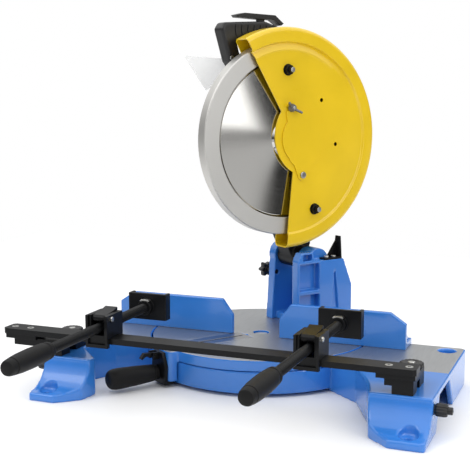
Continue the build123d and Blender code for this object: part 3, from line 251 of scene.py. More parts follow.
BLUE = (0.034, 0.2, 0.64)
YELLOW = (0.84, 0.565, 0.006)
BLACK = (0.005, 0.0053, 0.006)
FINISHES = {
    "blue_casting": enamel("blue_enamel", BLUE, 0.24, 0.05),
    "yellow_guard": enamel("yellow_coat", YELLOW, 0.3, 0.06),
    "black_paint": moulded("black_satin", BLACK, 0.36, 0.1, gloss=0.18),
    "bright_steel": spun_metal("spun_steel", (0.62, 0.61, 0.585), 0.11, 0.006, satin_from=150.5),
    "steel": bare_metal("turned_steel", (0.42, 0.42, 0.43), 0.32, (500.0, 500.0, 60.0)),
    "zinc": bare_metal("zinc_plate", (0.6, 0.6, 0.58), 0.3, (300.0, 300.0, 300.0)),
    "blade_steel": spun_metal("ground_blade", (0.5, 0.51, 0.52), 0.34, 0.002),
    "black_plastic": moulded("black_plastic", (0.007, 0.007, 0.0075), 0.38, 0.2, gloss=0.5),
    "rubber_black": moulded("black_rubber", (0.006, 0.006, 0.0065), 0.55, 0.3, gloss=0.2),
    "clear_plastic": clear_sheet("clear_plastic"),
    "iron": bare_metal("core_iron", (0.22, 0.22, 0.23), 0.5, (40.0, 700.0, 40.0)),
}
BASE_PAINT = enamel("base_enamel", BLUE, 0.24, 0.05, milled_from=-153.0)
TABLE_PAINT = enamel("table_enamel", BLUE, 0.24, 0.05, milled_from=-400.0)

for node, piece in frame["nodes"].items():
    piece.data.materials.clear()
    piece.data.materials.append(FINISHES[SLOT_OF[node]].material)


# Mesh making, in millimetres
POLE_WELD = 0.0001
SOLID_WELD = 0.01
FLAT_ANGLE = 0.8
BEVEL_ANGLE = 32.0
CAST_SOFT = 0.5
CAST_KEPT = 0.16


def circle_part(centre, radius, start, end, steps):
    points = []
    for index in range(steps + 1):
        angle = math.radians(start + (end - start) * index / steps)
        points.append((centre[0] + radius * math.cos(angle), centre[1] + radius * math.sin(angle)))
    return points


def arc_through(first, middle, last, steps):
    (ax, ay), (bx, by), (cx, cy) = first, middle, last
    twice = 2.0 * (ax * (by - cy) + bx * (cy - ay) + cx * (ay - by))
    a2, b2, c2 = ax * ax + ay * ay, bx * bx + by * by, cx * cx + cy * cy
    x = (a2 * (by - cy) + b2 * (cy - ay) + c2 * (ay - by)) / twice
    y = (a2 * (cx - bx) + b2 * (ax - cx) + c2 * (bx - ax)) / twice
    start = math.atan2(ay - y, ax - x)
    turn = (math.atan2(cy - y, cx - x) - start) % math.tau
    if (math.atan2(by - y, bx - x) - start) % math.tau > turn:
        turn -= math.tau
    radius = math.hypot(ax - x, ay - y)
    return circle_part((x, y), radius, math.degrees(start), math.degrees(start + turn), steps)


def spot(across, up, along, axis):
    return {"X": (along, across, up), "Y": (across, along, up), "Z": (across, up, along)}[axis]


def as_piece(name, form, scale=MM):
    bmesh.ops.recalc_face_normals(form, faces=form.faces)
    mesh = bpy.data.meshes.new(name)
    form.to_mesh(mesh)
    form.free()
    mesh.transform(Matrix.Scale(scale, 4))
    piece = bpy.data.objects.new(name, mesh)
    bpy.context.scene.collection.objects.link(piece)
    return piece


def prism(name, outline, low, high, axis="X"):
    form = bmesh.new()
    ends = [[form.verts.new(spot(a, b, along, axis)) for a, b in outline] for along in (low, high)]
    form.faces.new(ends[0])
    form.faces.new(ends[1][::-1])
    for index in range(len(outline)):
        after = (index + 1) % len(outline)
        form.faces.new((ends[0][index], ends[1][index], ends[1][after], ends[0][after]))
    return as_piece(name, form)


def block(name, low, high):
    return prism(name, ((low[0], low[1]), (high[0], low[1]), (high[0], high[1]), (low[0], high[1])),
                 low[2], high[2], "Z")


def hexagon(centre, flats):
    return circle_part(centre, flats / math.sqrt(3.0), 0.0, 300.0, 5)


def skinned(name, rings):
    form = bmesh.new()
    rows = [[form.verts.new(point) for point in ring] for ring in rings]
    for here, there in zip(rows, rows[1:]):
        for index in range(len(here)):
            after = (index + 1) % len(here)
            form.faces.new((here[index], here[after], there[after], there[index]))
    form.faces.new(rows[0])
    form.faces.new(rows[-1][::-1])
    return as_piece(name, form)


def lathe(name, profile, centre, axis="X", steps=96):
    form = bmesh.new()
    rings = []
    for step in range(steps):
        angle = math.tau * step / steps
        across, up = math.cos(angle), math.sin(angle)
        ring = []
        for along, radius in profile:
            place = spot(centre[0] + radius * across, centre[1] + radius * up, along, axis)
            ring.append(form.verts.new(place))
        rings.append(ring)
    count = len(profile)
    for step in range(steps):
        here, there = rings[step], rings[(step + 1) % steps]
        for index in range(count):
            after = (index + 1) % count
            if profile[index][1] > 0.0 or profile[after][1] > 0.0:
                form.faces.new((here[index], here[after], there[after], there[index]))
    bmesh.ops.remove_doubles(form, verts=form.verts, dist=POLE_WELD)
    return as_piece(name, form)


def rod(name, radius, low, high, centre, axis="X", edge=0.8, steps=40):
    edge = min(edge, radius * 0.4)
    bulge = edge * 0.3
    profile = ((low, 0.0), (low, radius - edge), (low + bulge, radius - bulge), (low + edge, radius),
               (high - edge, radius), (high - bulge, radius - bulge), (high, radius - edge), (high, 0.0))
    return lathe(name, profile, centre, axis, steps)


# Each level of a knob is a share of its height and a share of its radius.
KNOB_LEVELS = (
    (0.0, 0.86), (0.06, 0.95), (0.2, 1.0), (0.72, 1.0), (0.9, 0.95), (1.0, 0.84), (1.0, 0.62), (0.9, 0.56),
)
KNOB_RIBBED = 0.7


def ribbed_knob(name, centre, radius, ribs, depth, low, high, axis):
    steps = ribs * 8
    height = high - low
    rings = []
    for level, share in KNOB_LEVELS:
        ring = []
        for step in range(steps):
            angle = math.tau * step / steps
            dip = depth * (0.5 - 0.5 * math.cos(ribs * angle)) if share > KNOB_RIBBED else 0.0
            reach = radius * share - dip
            across = centre[0] + reach * math.cos(angle)
            ring.append(spot(across, centre[1] + reach * math.sin(angle), low + height * level, axis))
        rings.append(ring)
    return skinned(name, rings)


def threaded(name, radius, low, high, centre, pitch, depth):
    sides, samples = 24, 4
    rows = int((high - low) / pitch * samples)
    rings = []
    for row in range(rows + 1):
        along = low + (high - low) * row / rows
        fade = min(1.0, (along - low) / pitch, (high - along) / pitch)
        ring = []
        for side in range(sides):
            turn = side / sides
            wave = abs(((along / pitch - turn) % 1.0) * 2.0 - 1.0)
            reach = radius - depth * wave * fade
            ring.append((centre[0] + reach * math.cos(math.tau * turn), along,
                         centre[1] + reach * math.sin(math.tau * turn)))
        rings.append(ring)
    return skinned(name, rings)


def settle(piece):
    view = bpy.context.evaluated_depsgraph_get()
    mesh = bpy.data.meshes.new_from_object(piece.evaluated_get(view))
    piece.modifiers.clear()
    piece.data = mesh
    return piece


def combine(piece, operation, tools):
    for tool in tools:
        change = piece.modifiers.new(operation, "BOOLEAN")
        change.operation = operation
        change.solver = "EXACT"
        change.object = tool
    settle(piece)
    for tool in tools:
        bpy.data.objects.remove(tool)
    return piece


def cut(piece, *tools):
    return combine(piece, "DIFFERENCE", tools)


def fuse(piece, *tools):
    return combine(piece, "UNION", tools)


def rounded(piece, width, segments=3):
    change = piece.modifiers.new("edges", "BEVEL")
    change.width = width * MM
    change.segments = segments
    change.limit_method = "ANGLE"
    change.angle_limit = math.radians(BEVEL_ANGLE)
    change.use_clamp_overlap = True
    return settle(piece)


def solid_copy(name, node):
    form = bmesh.new()
    form.from_mesh(frame["nodes"][node].data)
    bmesh.ops.remove_doubles(form, verts=form.verts, dist=SOLID_WELD * MM)
    flat = math.radians(FLAT_ANGLE)
    bmesh.ops.dissolve_limit(form, angle_limit=flat, verts=form.verts, edges=form.edges)
    return as_piece(name, form, 1.0)


def edged_copy(name, node, width):
    return rounded(solid_copy(name, node), width, 2)


# A casting's skin is made again in small even faces, softened, and thinned out.
def cast_copy(name, node, voxel, passes, hollows=()):
    piece = solid_copy(name, node)
    if hollows:
        cut(piece, *hollows)
    skin = piece.modifiers.new("skin", "REMESH")
    skin.mode = "VOXEL"
    skin.voxel_size = voxel * MM
    soft = piece.modifiers.new("soft", "SMOOTH")
    soft.factor = CAST_SOFT
    soft.iterations = passes
    plain = piece.modifiers.new("plain", "DECIMATE")
    plain.decimate_type = "COLLAPSE"
    plain.ratio = CAST_KEPT
    return settle(piece)


def dress(piece, slot, body, nodes=(), turned=True, sharp=38.0, paint=None):
    if turned:
        piece.data.transform(SWUNG)
    piece.data.materials.clear()
    piece.data.materials.append((paint or FINISHES[slot]).material)
    piece.data.shade_smooth()
    piece.data.set_sharp_from_angle(angle=math.radians(sharp))
    even = piece.modifiers.new("even", "WEIGHTED_NORMAL")
    even.keep_sharp = True
    settle(piece)
    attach(piece, body)
    if nodes:
        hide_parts(*nodes)


def stand_in(piece, node, slot=None, paint=None):
    dress(piece, slot or SLOT_OF[node], BODY_OF[node], [node], turned=False, paint=paint)


# Places on the saw head are measured forward and up from the blade's axle.
def head_spot(forward, up):
    return (BLADE_Y - forward, BLADE_Z + up)


def head_outline(points):
    return [head_spot(*point) for point in points]


# Guards and what sits on them
GUARD_R = 210.0
GUARD_X0 = -21.0
GUARD_X1 = 22.0
SHEET = 2.5
FACE_X = 19.0
GUARD_HOLES = ((-77.0, 73.0), (-113.0, -13.0))
GUARD_HOLE_R = 4.0
RIM_ROUND = 9.0
BAND_R = 184.0
BAND_FOOT = 178.5
BAND_BEND = 0.6
CRESCENT_R0 = 165.0
CRESCENT_R1 = 181.0
CRESCENT_RISE = (20.0, 52.0)
CRESCENT_FADE = (112.0, 160.0)
RIDGE_R = 168.0
RIDGE_HIGH = 1.4
RIDGE_FALL = 0.368
FACE_RINGS = (100.0, 150.0, 164.0, RIDGE_R, 174.0)
MOUTH_EDGE = ((130.0, 243.6), (76.0, 146.0), (18.0, 52.0))
MOUTH_HEEL = (-10.0, -64.0)
MOUTH_FOOT = 6.0
SPINDLE_HOLE = 43.0
BOLT_HOLE = 17.0
COLLAR_R = 24.0
COLLAR_LONG = 5.0
COLLAR_SUNK = 0.4
LOWER_R = 184.0
LOWER_X1 = 10.0
LOWER_RIM = 22.0
LOWER_BEND = 2.5
LOWER_FLAT = 152.0
LOWER_RECESS = 4.5
LOWER_T = 2.0
HUB_GAP = 0.6
HUB_HIGH = 4.0
HUB_WALL = 9.0
HUB_FOOT = 12.0
HUB_KEPT = 14.0
TURN_GAP = 0.05
OPENING_START = 70.0
OPENING_TURN = 194.0
OPENING_STEPS = 6
STUDS = (("guard_stud_top", (4.0, 130.0)), ("guard_stud_low", (-62.0, -138.0)))
STUD_FLATS = 17.0
STUD_WASHER_R = 11.0
STUD_POST_R = 5.6
STUD_TIP_R = 4.8
STUD_LONG = 16.0
COVER_X0 = FACE_X + 0.3
COVER_X1 = FACE_X + 2.8
COVER_CENTRE = (-33.0, 0.0)
COVER_R = 50.0
COVER_LOBE = 11.0
COVER_SCREW = (-31.0, -70.0)
COVER_SCREW_R = 6.5
COVER_STEM_R = 3.0
COVER_HOLE_R = 3.1
COVER_SOCKET = 5.6
COVER_POST_R = 3.0
COVER_POST_LONG = 13.0
COVER_SLOT = 4.0
FASTENER_X = FACE_X + 3.1
WING_NUT = (-3.0, 59.0)
WING_EAR = ((1.5, 3.5), (2.5, 9.0), (11.0, 18.5), (14.0, 19.0), (14.6, 16.0), (9.0, 9.0), (7.0, 3.5))
WING_HALF = 2.2
WING_BORE = 3.2
WING_FOOT_R = 8.0
WING_TOP_R = 5.6
WING_HIGH = 8.0
WING_TILT = -32.0


def eased(value, low, high):
    share = min(max((value - low) / (high - low), 0.0), 1.0)
    return share * share * (3.0 - 2.0 * share)


# A crescent is pressed into the top of the face: a low ridge, then a long slope out to the band.
def press_crescent(piece):
    for vertex in piece.data.vertices:
        x, y, z = (value / MM for value in vertex.co)
        radius = math.hypot(y - BLADE_Y, z - BLADE_Z)
        if x > LOWER_X1 and CRESCENT_R0 < radius < CRESCENT_R1:
            angle = math.degrees(math.atan2(z - BLADE_Z, BLADE_Y - y))
            share = eased(angle, *CRESCENT_RISE) * (1.0 - eased(angle, *CRESCENT_FADE))
            vertex.co.x += (RIDGE_HIGH - RIDGE_FALL * (radius - RIDGE_R)) * share * MM


def mouth(name):
    below, ahead = -GUARD_R - 20.0, GUARD_R + 60.0
    edge = list(MOUTH_EDGE)
    edge += arc_through(MOUTH_EDGE[-1], (COLLAR_R + 8.0, -2.0), MOUTH_HEEL, 24)[1:]
    edge += [(MOUTH_FOOT, below), (ahead, below), (ahead, MOUTH_EDGE[0][1])]
    return prism(name, head_outline(edge), GUARD_X0 - 10.0, GUARD_X1 + 10.0)


def guard_shell():
    outer = RIM_ROUND
    inner = RIM_ROUND - SHEET
    right = (GUARD_X1 - outer, GUARD_R - outer)
    left = (GUARD_X0 + outer, GUARD_R - outer)
    skin = FACE_X - SHEET
    profile = [(FACE_X, BOLT_HOLE)] + [(FACE_X, radius) for radius in FACE_RINGS]
    profile += [(FACE_X, BAND_FOOT), (FACE_X + BAND_BEND, BAND_FOOT + 2.0),
                (GUARD_X1 - BAND_BEND, BAND_R - 1.5), (GUARD_X1, BAND_R)]
    profile += circle_part(right, outer, 0.0, 90.0, 8) + circle_part(left, outer, 90.0, 180.0, 8)
    profile += [(GUARD_X0, SPINDLE_HOLE), (GUARD_X0 + SHEET, SPINDLE_HOLE)]
    profile += circle_part(left, inner, 180.0, 90.0, 8) + circle_part(right, inner, 90.0, 0.0, 8)
    profile += [(GUARD_X1 - SHEET, BAND_R + 2.0), (skin, BAND_FOOT + 1.5)]
    profile += [(skin, radius) for radius in reversed(FACE_RINGS)] + [(skin, BOLT_HOLE)]
    shell = lathe("guard_shell", profile, AXLE, steps=180)
    press_crescent(shell)
    inside, outside = skin - COLLAR_LONG, skin + COLLAR_SUNK
    ring = ((inside, BOLT_HOLE), (inside, COLLAR_R), (outside, COLLAR_R), (outside, BOLT_HOLE))
    collar = lathe("collar", ring, AXLE, steps=64)
    holes = [rod("hole", GUARD_HOLE_R, 0.0, GUARD_X1 + 18.0, head_spot(*place)) for place in GUARD_HOLES]
    shell = fuse(shell, collar)
    shell = cut(shell, mouth("mouth"), *holes)
    dress(shell, "yellow_guard", "saw_head", ["upper_guard"], sharp=30.0)


def lower_guard_dish():
    x0 = LOWER_X1 - LOWER_RIM
    hub_x = FACE_X - SHEET - HUB_GAP
    dish_x = hub_x - HUB_HIGH
    bore = COLLAR_R + TURN_GAP
    well_x = LOWER_X1 - LOWER_RECESS
    edge = circle_part((LOWER_X1 - LOWER_BEND, LOWER_R - LOWER_BEND), LOWER_BEND, 90.0, 0.0, 6)
    outside = [(LOWER_X1, LOWER_FLAT), (LOWER_X1 - 0.6, LOWER_FLAT - 1.0), (well_x + 0.6, LOWER_FLAT - 4.4),
               (well_x, LOWER_FLAT - 5.6), (dish_x, COLLAR_R + HUB_FOOT)]
    inside = [(x - LOWER_T, radius) for x, radius in reversed(outside)]
    hub = [(hub_x, COLLAR_R + HUB_WALL), (hub_x, bore), (dish_x - LOWER_T, bore)]
    rim = [(LOWER_X1 - LOWER_T, LOWER_R - LOWER_T - 1.0), (x0, LOWER_R - LOWER_T)]
    dish = lathe("lower_guard_dish", [(x0, LOWER_R)] + edge + outside + hub + inside + rim, AXLE, steps=120)
    reach = 3.0 * LOWER_R
    sector = [(0.0, 0.0)]
    for step in range(OPENING_STEPS + 1):
        angle = math.radians(OPENING_START + OPENING_TURN * step / OPENING_STEPS)
        sector.append((reach * math.cos(angle), reach * math.sin(angle)))
    opening = prism("opening", head_outline(sector), x0 - 1.0, FACE_X)
    kept = rod("hub", COLLAR_R + HUB_KEPT, x0 - 2.0, FACE_X + 1.0, AXLE, edge=0.1, steps=64)
    dress(cut(dish, cut(opening, kept)), "bright_steel", "lower_guard", ["lower_guard"], sharp=24.0)


def guard_stud(name, place):
    nut = rounded(prism(name, hexagon(place, STUD_FLATS), FACE_X + 1.0, FACE_X + 8.0), 0.9, 2)
    washer = rod("washer", STUD_WASHER_R, FACE_X - 0.2, FACE_X + 1.4, place, edge=0.4)
    post = rod("post", STUD_POST_R, FACE_X + 6.0, FACE_X + STUD_LONG, place, edge=1.2)
    return fuse(nut, washer, post)


def studs():
    for index, (name, place) in enumerate(STUDS):
        stud = guard_stud(name, head_spot(*place))
        dress(stud, "black_paint", "saw_head", ["guard_studs"] if index == 0 else ())
    for name, place in STUDS:
        end = FACE_X + STUD_LONG
        tip = rod(name + "_tip", STUD_TIP_R, end - 1.0, end + 0.8, head_spot(*place), edge=0.8)
        dress(tip, "steel", "saw_head")
    place = head_spot(*WING_NUT)
    post = rod("cover_post", COVER_POST_R, FACE_X - 0.2, FACE_X + COVER_POST_LONG, place, edge=0.6)
    dress(post, "zinc", "saw_head")


# The slot follows the cover's swing about its screw, so that the cover leaves the wing nut's post.
def cover_slot():
    ny, nz = head_spot(*WING_NUT)
    sy, sz = head_spot(*COVER_SCREW)
    reach = math.hypot(ny - sy, nz - sz)
    along = ((sz - nz) / reach, (ny - sy) / reach)
    across = ((ny - sy) / reach, (nz - sz) / reach)
    corners = []
    for ahead, aside in ((-4, 0.6), (-2, 1), (30, 1), (30, -1), (-2, -1), (-4, -0.6)):
        corners.append((ny + ahead * along[0] + aside * COVER_SLOT * across[0],
                        nz + ahead * along[1] + aside * COVER_SLOT * across[1]))
    return prism("slot", corners, FACE_X - 2.0, FACE_X + 6.0)


def cover():
    outline = circle_part(COVER_SCREW, COVER_LOBE, 180.0, 340.0, 16)
    outline += [(-12.0, -52.0), (0.0, -40.0)]
    outline += circle_part(COVER_CENTRE, COVER_R, -48.0, 40.0, 20)
    outline += [(8.0, 44.0)]
    outline += circle_part(WING_NUT, COVER_LOBE, -10.0, 130.0, 14)
    outline += [(-22.0, 56.0), (-36.0, 52.0)]
    outline += circle_part(COVER_CENTRE, COVER_R + 1.0, 100.0, 205.0, 26)
    outline += [(-66.0, -40.0), (-50.0, -54.0)]
    plate = prism("arbor_cover_plate", head_outline(outline), COVER_X0, COVER_X1)
    plate = cut(plate, rod("hole", COVER_HOLE_R, FACE_X - 2.0, FACE_X + 6.0, head_spot(*COVER_SCREW)))
    plate = cut(plate, cover_slot())
    dress(rounded(plate, 1.1, 2), "yellow_guard", "arbor_cover", ["arbor_cover"], sharp=30.0)


def cover_screw():
    place = head_spot(*COVER_SCREW)
    head = rod("cover_screw_head", COVER_SCREW_R, FASTENER_X, FACE_X + 6.0, place, edge=1.2)
    head = cut(head, prism("socket", hexagon(place, COVER_SOCKET), FACE_X + 4.4, FACE_X + 8.0))
    stem = rod("stem", COVER_STEM_R, FACE_X - 0.2, FACE_X + 3.6, place, edge=0.2)
    dress(fuse(head, stem), "steel", "saw_head", ["cover_screw"])


def wing_nut():
    y, z = head_spot(*WING_NUT)
    x0 = FASTENER_X
    top = x0 + WING_HIGH
    profile = ((x0, WING_BORE), (x0, WING_FOOT_R), (x0 + 1.5, WING_FOOT_R),
               (top, WING_TOP_R), (top, WING_BORE))
    nut = lathe("wing_nut_body", profile, (y, z), steps=32)
    for side in (1.0, -1.0):
        outline = [(x0 + out, y + side * aside) for out, aside in WING_EAR]
        nut = fuse(nut, rounded(prism("ear", outline, z - WING_HALF, z + WING_HALF, "Z"), 1.2, 2))
    tilt = Matrix.Translation(Vector((0, y, z)) * MM) @ Matrix.Rotation(math.radians(WING_TILT), 4, "X")
    nut.data.transform(tilt @ Matrix.Translation(Vector((0, -y, -z)) * MM))
    dress(nut, "iron", "wing_nut", ["wing_nut"])


# Castings and machined pieces that keep their solid's shape and gain rounded edges
PIVOT_Y = 118.0
PIVOT_Z = 200.0
ARM_FACE_X = -74.0
ARM_HOLLOW = 3.5
PLAIN_CASTINGS = (
    ("column_body", "pivot_column", 1.6),
    ("fence_body", "fence", 1.5),
    ("gearbox_body", "gearbox_housing", 1.7),
    ("handle_body", "handle", 1.4),
)
EDGE_WIDTHS = {
    "vise_rail": 1.0, "rail_brackets": 1.6, "mitre_bracket": 1.4, "detent_lever": 1.2,
    "stop_bracket": 0.6, "motor_housing": 0.8, "motor_end_cap": 0.8, "cord_gland": 1.0,
    "trigger": 2.2, "lock_paddle": 1.4, "chip_deflector": 0.6, "fence_bolts": 0.8,
    "pivot_shaft": 1.0, "kerf_plate": 0.4, "half_nut_left": 1.0, "half_nut_right": 1.0,
    "clamp_pad_left": 1.4, "clamp_pad_right": 1.4, "stop_bracket_screws": 0.8, "saw_blade": 0.2,
}


def arm_hollow():
    outline = [
        (PIVOT_Y + 16.0, PIVOT_Z + 44.0), (PIVOT_Y + 22.0, PIVOT_Z + 90.0),
        (BLADE_Y + 42.0, BLADE_Z - 76.0), (BLADE_Y + 6.0, BLADE_Z - 76.0),
        (BLADE_Y + 18.0, PIVOT_Z + 116.0), (PIVOT_Y - 10.0, PIVOT_Z + 44.0),
    ]
    hollow = rounded(prism("hollow", outline, ARM_FACE_X - 20.0, ARM_FACE_X + ARM_HOLLOW), 3.0)
    hollow.data.transform(SWUNG)
    return hollow


def castings():
    stand_in(cast_copy("base_body", "base_casting", voxel=2.4, passes=4), "base_casting", paint=BASE_PAINT)
    stand_in(cast_copy("table_body", "turntable", voxel=1.8, passes=3), "turntable", paint=TABLE_PAINT)
    arm = cast_copy("arm_body", "head_arm", voxel=1.7, passes=4, hollows=[arm_hollow()])
    stand_in(arm, "head_arm")
    for name, node, voxel in PLAIN_CASTINGS:
        stand_in(cast_copy(name, node, voxel, passes=4), node)


def machined():
    for node, width in EDGE_WIDTHS.items():
        slot = "black_paint" if node == "detent_lever" else SLOT_OF[node]
        stand_in(edged_copy(node + "_body", node, width), node, slot)


# Motor and gearbox trim
BOX_X0 = -82.0
MOTOR_AXIS = (106.2, 466.0)
MOTOR_R = 48.0
RIB_X0 = -188.0
RIB_X1 = -116.0
RIB_COUNT = 30
RIB_HIGH = 1.8
RIB_SUNK = 1.0
RIB_END = 3.0
RIB_FLANK = 0.35
BOSS_R = 25.0
BOX_SCREW_RING = 51.5
BOX_SCREW_R = 4.6
BOX_SCREW_HIGH = 3.2
BOX_SOCKET = 4.0
BOX_SCREW_TURNS = (90.0, 135.0, 180.0, 225.0, 270.0, 315.0)
BRUSH_X = -208.0
BRUSH_REACH = 51.0
BRUSH_SLOT = 1.0
BRUSH_SLOT_HALF = 9.0
BRUSH_SLOT_DEEP = 1.6


def motor_ribs():
    levels = ((RIB_X0, -RIB_SUNK), (RIB_X0 + RIB_END, RIB_HIGH),
              (RIB_X1 - RIB_END, RIB_HIGH), (RIB_X1, -RIB_SUNK))
    steps = RIB_COUNT * 8
    rings = []
    for x, height in levels:
        ring = []
        for step in range(steps):
            angle = math.tau * step / steps
            crest = eased(math.cos(RIB_COUNT * angle), -RIB_FLANK, RIB_FLANK)
            reach = MOTOR_R - RIB_SUNK + (height + RIB_SUNK) * crest
            across, up = reach * math.cos(angle), reach * math.sin(angle)
            ring.append((x, MOTOR_AXIS[0] + across, MOTOR_AXIS[1] + up))
        rings.append(ring)
    dress(skinned("motor_ribs", rings), SLOT_OF["motor_housing"], "saw_head")


def gearbox_trim():
    profile = ((BOX_X0 + 1.0, 0.0), (BOX_X0 + 1.0, BOSS_R + 1.5), (BOX_X0 - 0.4, BOSS_R),
               (BOX_X0 - 2.4, BOSS_R - 0.6), (BOX_X0 - 3.0, BOSS_R - 2.0), (BOX_X0 - 3.0, 12.0),
               (BOX_X0 - 1.8, 11.0), (BOX_X0 - 1.8, 0.0))
    dress(lathe("bearing_boss", profile, AXLE, steps=64), SLOT_OF["gearbox_housing"], "saw_head")
    for index, turn in enumerate(BOX_SCREW_TURNS):
        angle = math.radians(turn)
        place = (BLADE_Y + BOX_SCREW_RING * math.cos(angle), BLADE_Z + BOX_SCREW_RING * math.sin(angle))
        name = "gearbox_screw_" + str(index + 1)
        head = rod(name, BOX_SCREW_R, BOX_X0 - BOX_SCREW_HIGH, BOX_X0 + 1.0, place, edge=0.9, steps=32)
        head = cut(head, prism("socket", hexagon(place, BOX_SOCKET), BOX_X0 - 6.0, BOX_X0 - 1.4))
        dress(head, "zinc", "saw_head")


def brush_caps():
    slots = []
    for side in (1.0, -1.0):
        face = MOTOR_AXIS[0] + side * BRUSH_REACH
        low, high = sorted((face - side * BRUSH_SLOT_DEEP, face + side * 4.0))
        slot = block("slot", (BRUSH_X - BRUSH_SLOT_HALF, low, MOTOR_AXIS[1] - BRUSH_SLOT),
                     (BRUSH_X + BRUSH_SLOT_HALF, high, MOTOR_AXIS[1] + BRUSH_SLOT))
        slot.data.transform(SWUNG)
        slots.append(slot)
    stand_in(rounded(cut(solid_copy("brush_caps_body", "brush_caps"), *slots), 0.5, 2), "brush_caps")


# Vise
CLAMPS = (("left", -182.0), ("right", 193.0))
SCREW_Z = 129.0
SCREW_R = 9.0
THREAD_PITCH = 4.0
THREAD_DEEP = 1.1
TIP_R = 6.5
PAD_Y = -121.0
GRIP_END = -584.0
GRIP_START = -466.0
RAIL_TOP = 112.0
RAIL_MID_Y = -293.0
RAIL_SCREWS = (-364.0, -332.0, 319.0, 351.0)
RAIL_SCREW_R = 6.2
RAIL_STEM_R = 3.0
RAIL_SOCKET = 5.0
BLOCK_HALF = 21.0
CHANNEL_HALF = 16.5
CHANNEL_DEEP = 4.5
NUT_PIN = (-306.0, 145.0)
NUT_PIN_R = 4.4
NUT_PIN_HALF = BLOCK_HALF + 4.0
KNOBS = (("left", -283.0), ("right", 342.0))
KNOB_Y = -232.0
KNOB_Z = 94.3
KNOB_HIGH = 9.0
KNOB_R = 19.8
KNOB_RIBS = 16
KNOB_RIB_DEEP = 1.6
KNOB_STUD_R = 5.0
KNOB_NUT_R = 6.0
SIDE_SCREWS = (("left", -1.0, 300.0), ("right", 1.0, 390.0))
SIDE_SCREW_AT = (-284.0, 46.0)
SIDE_KNOB_R = 10.5
SIDE_RIBS = 14
SIDE_RIB_DEEP = 1.1
SIDE_SHANK_R = 7.9
SIDE_POST_R = 6.0
SIDE_SOCKET = 5.0


def hand_grip(name, x):
    far, near = GRIP_END, GRIP_START
    profile = ((far, 0.0), (far, 8.5), (far + 1.5, 11.2), (far + 5.0, 12.6), (far + 12.0, 13.4),
               (far + 13.0, 12.6), (far + 14.6, 12.6), (far + 15.6, 13.9), (far + 34.0, 15.4),
               (far + 62.0, 16.0), (far + 88.0, 15.5), (far + 100.0, 14.8), (far + 102.0, 13.2),
               (far + 105.0, 13.2), (far + 106.5, 14.4), (far + 112.0, 14.0),
               (near - 1.0, 12.2), (near, 11.0), (near, 0.0))
    return lathe(name, profile, (x, SCREW_Z), "Y", 64)


def clamp_screws():
    for side, x in CLAMPS:
        body = "clamp_screw_" + side
        grip = "clamp_grip_" + side
        axis = (x, SCREW_Z)
        thread = threaded(body + "_thread", SCREW_R, GRIP_START - 2.0, PAD_Y - 23.0, axis,
                          THREAD_PITCH, THREAD_DEEP)
        tip = rod("tip", TIP_R, PAD_Y - 24.0, PAD_Y - 8.0, axis, "Y")
        dress(fuse(thread, tip), "black_paint", body, [body], turned=False, sharp=50.0)
        dress(hand_grip(grip + "_body", x), "rubber_black", body, [grip], turned=False)


def clamp_blocks():
    for side, x in CLAMPS:
        node = "clamp_block_" + side
        low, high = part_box(node)
        front, bottom, top = low[1] / MM, low[2] / MM, high[2] / MM
        channel = block("channel", (x - CHANNEL_HALF, front - 5.0, bottom + 6.0),
                        (x + CHANNEL_HALF, front + CHANNEL_DEEP, top + 5.0))
        stand_in(rounded(cut(solid_copy(node + "_body", node), channel), 0.9, 2), node)


def clamp_trim():
    for side, x in CLAMPS:
        pin = rod("clamp_pin_" + side, NUT_PIN_R, x - NUT_PIN_HALF, x + NUT_PIN_HALF, NUT_PIN, edge=1.4)
        dress(pin, "zinc", "clamp_block_" + side, turned=False)
        clip = [(x - 10.0, SCREW_Z + 12.5), (x - 7.5, SCREW_Z + 15.6), (x + 7.5, SCREW_Z + 15.6),
                (x + 10.0, SCREW_Z + 12.5), (x + 8.0, SCREW_Z + 11.5), (x - 8.0, SCREW_Z + 11.5)]
        clip = rounded(prism("pad_clip_" + side, clip, PAD_Y - 20.0, PAD_Y - 9.0, "Y"), 0.8, 2)
        dress(clip, "zinc", "clamp_pad_" + side, turned=False)


def rail_screws():
    profile = ((RAIL_TOP - 8.0, 0.0), (RAIL_TOP - 8.0, RAIL_STEM_R), (RAIL_TOP - 3.0, RAIL_STEM_R),
               (RAIL_TOP - 0.3, RAIL_SCREW_R), (RAIL_TOP, RAIL_SCREW_R),
               (RAIL_TOP + 0.1, RAIL_SCREW_R - 0.6), (RAIL_TOP + 0.1, 0.0))
    for index, x in enumerate(RAIL_SCREWS):
        place = (x, RAIL_MID_Y)
        head = lathe("rail_screw_" + str(index + 1), profile, place, "Z", 40)
        head = cut(head, prism("socket", hexagon(place, RAIL_SOCKET), RAIL_TOP - 2.4, RAIL_TOP + 2.0, "Z"))
        dress(head, "zinc", "base", ["rail_screws"] if index == 0 else (), turned=False)


def rail_knobs():
    for side, x in KNOBS:
        name = "rail_knob_" + side
        place = (x, KNOB_Y)
        top = KNOB_Z + KNOB_HIGH
        knob = ribbed_knob(name + "_body", place, KNOB_R, KNOB_RIBS, KNOB_RIB_DEEP, KNOB_Z, top, "Z")
        knob = fuse(knob, rod("stud", KNOB_STUD_R, TABLE_Z - 8.0, KNOB_Z + 1.0, place, "Z"))
        dress(knob, "black_plastic", name, [name], turned=False)
        nut = rod(name + "_nut", KNOB_NUT_R, top - 2.0, top + 0.4, place, "Z", 1.0)
        dress(nut, "zinc", name, turned=False)


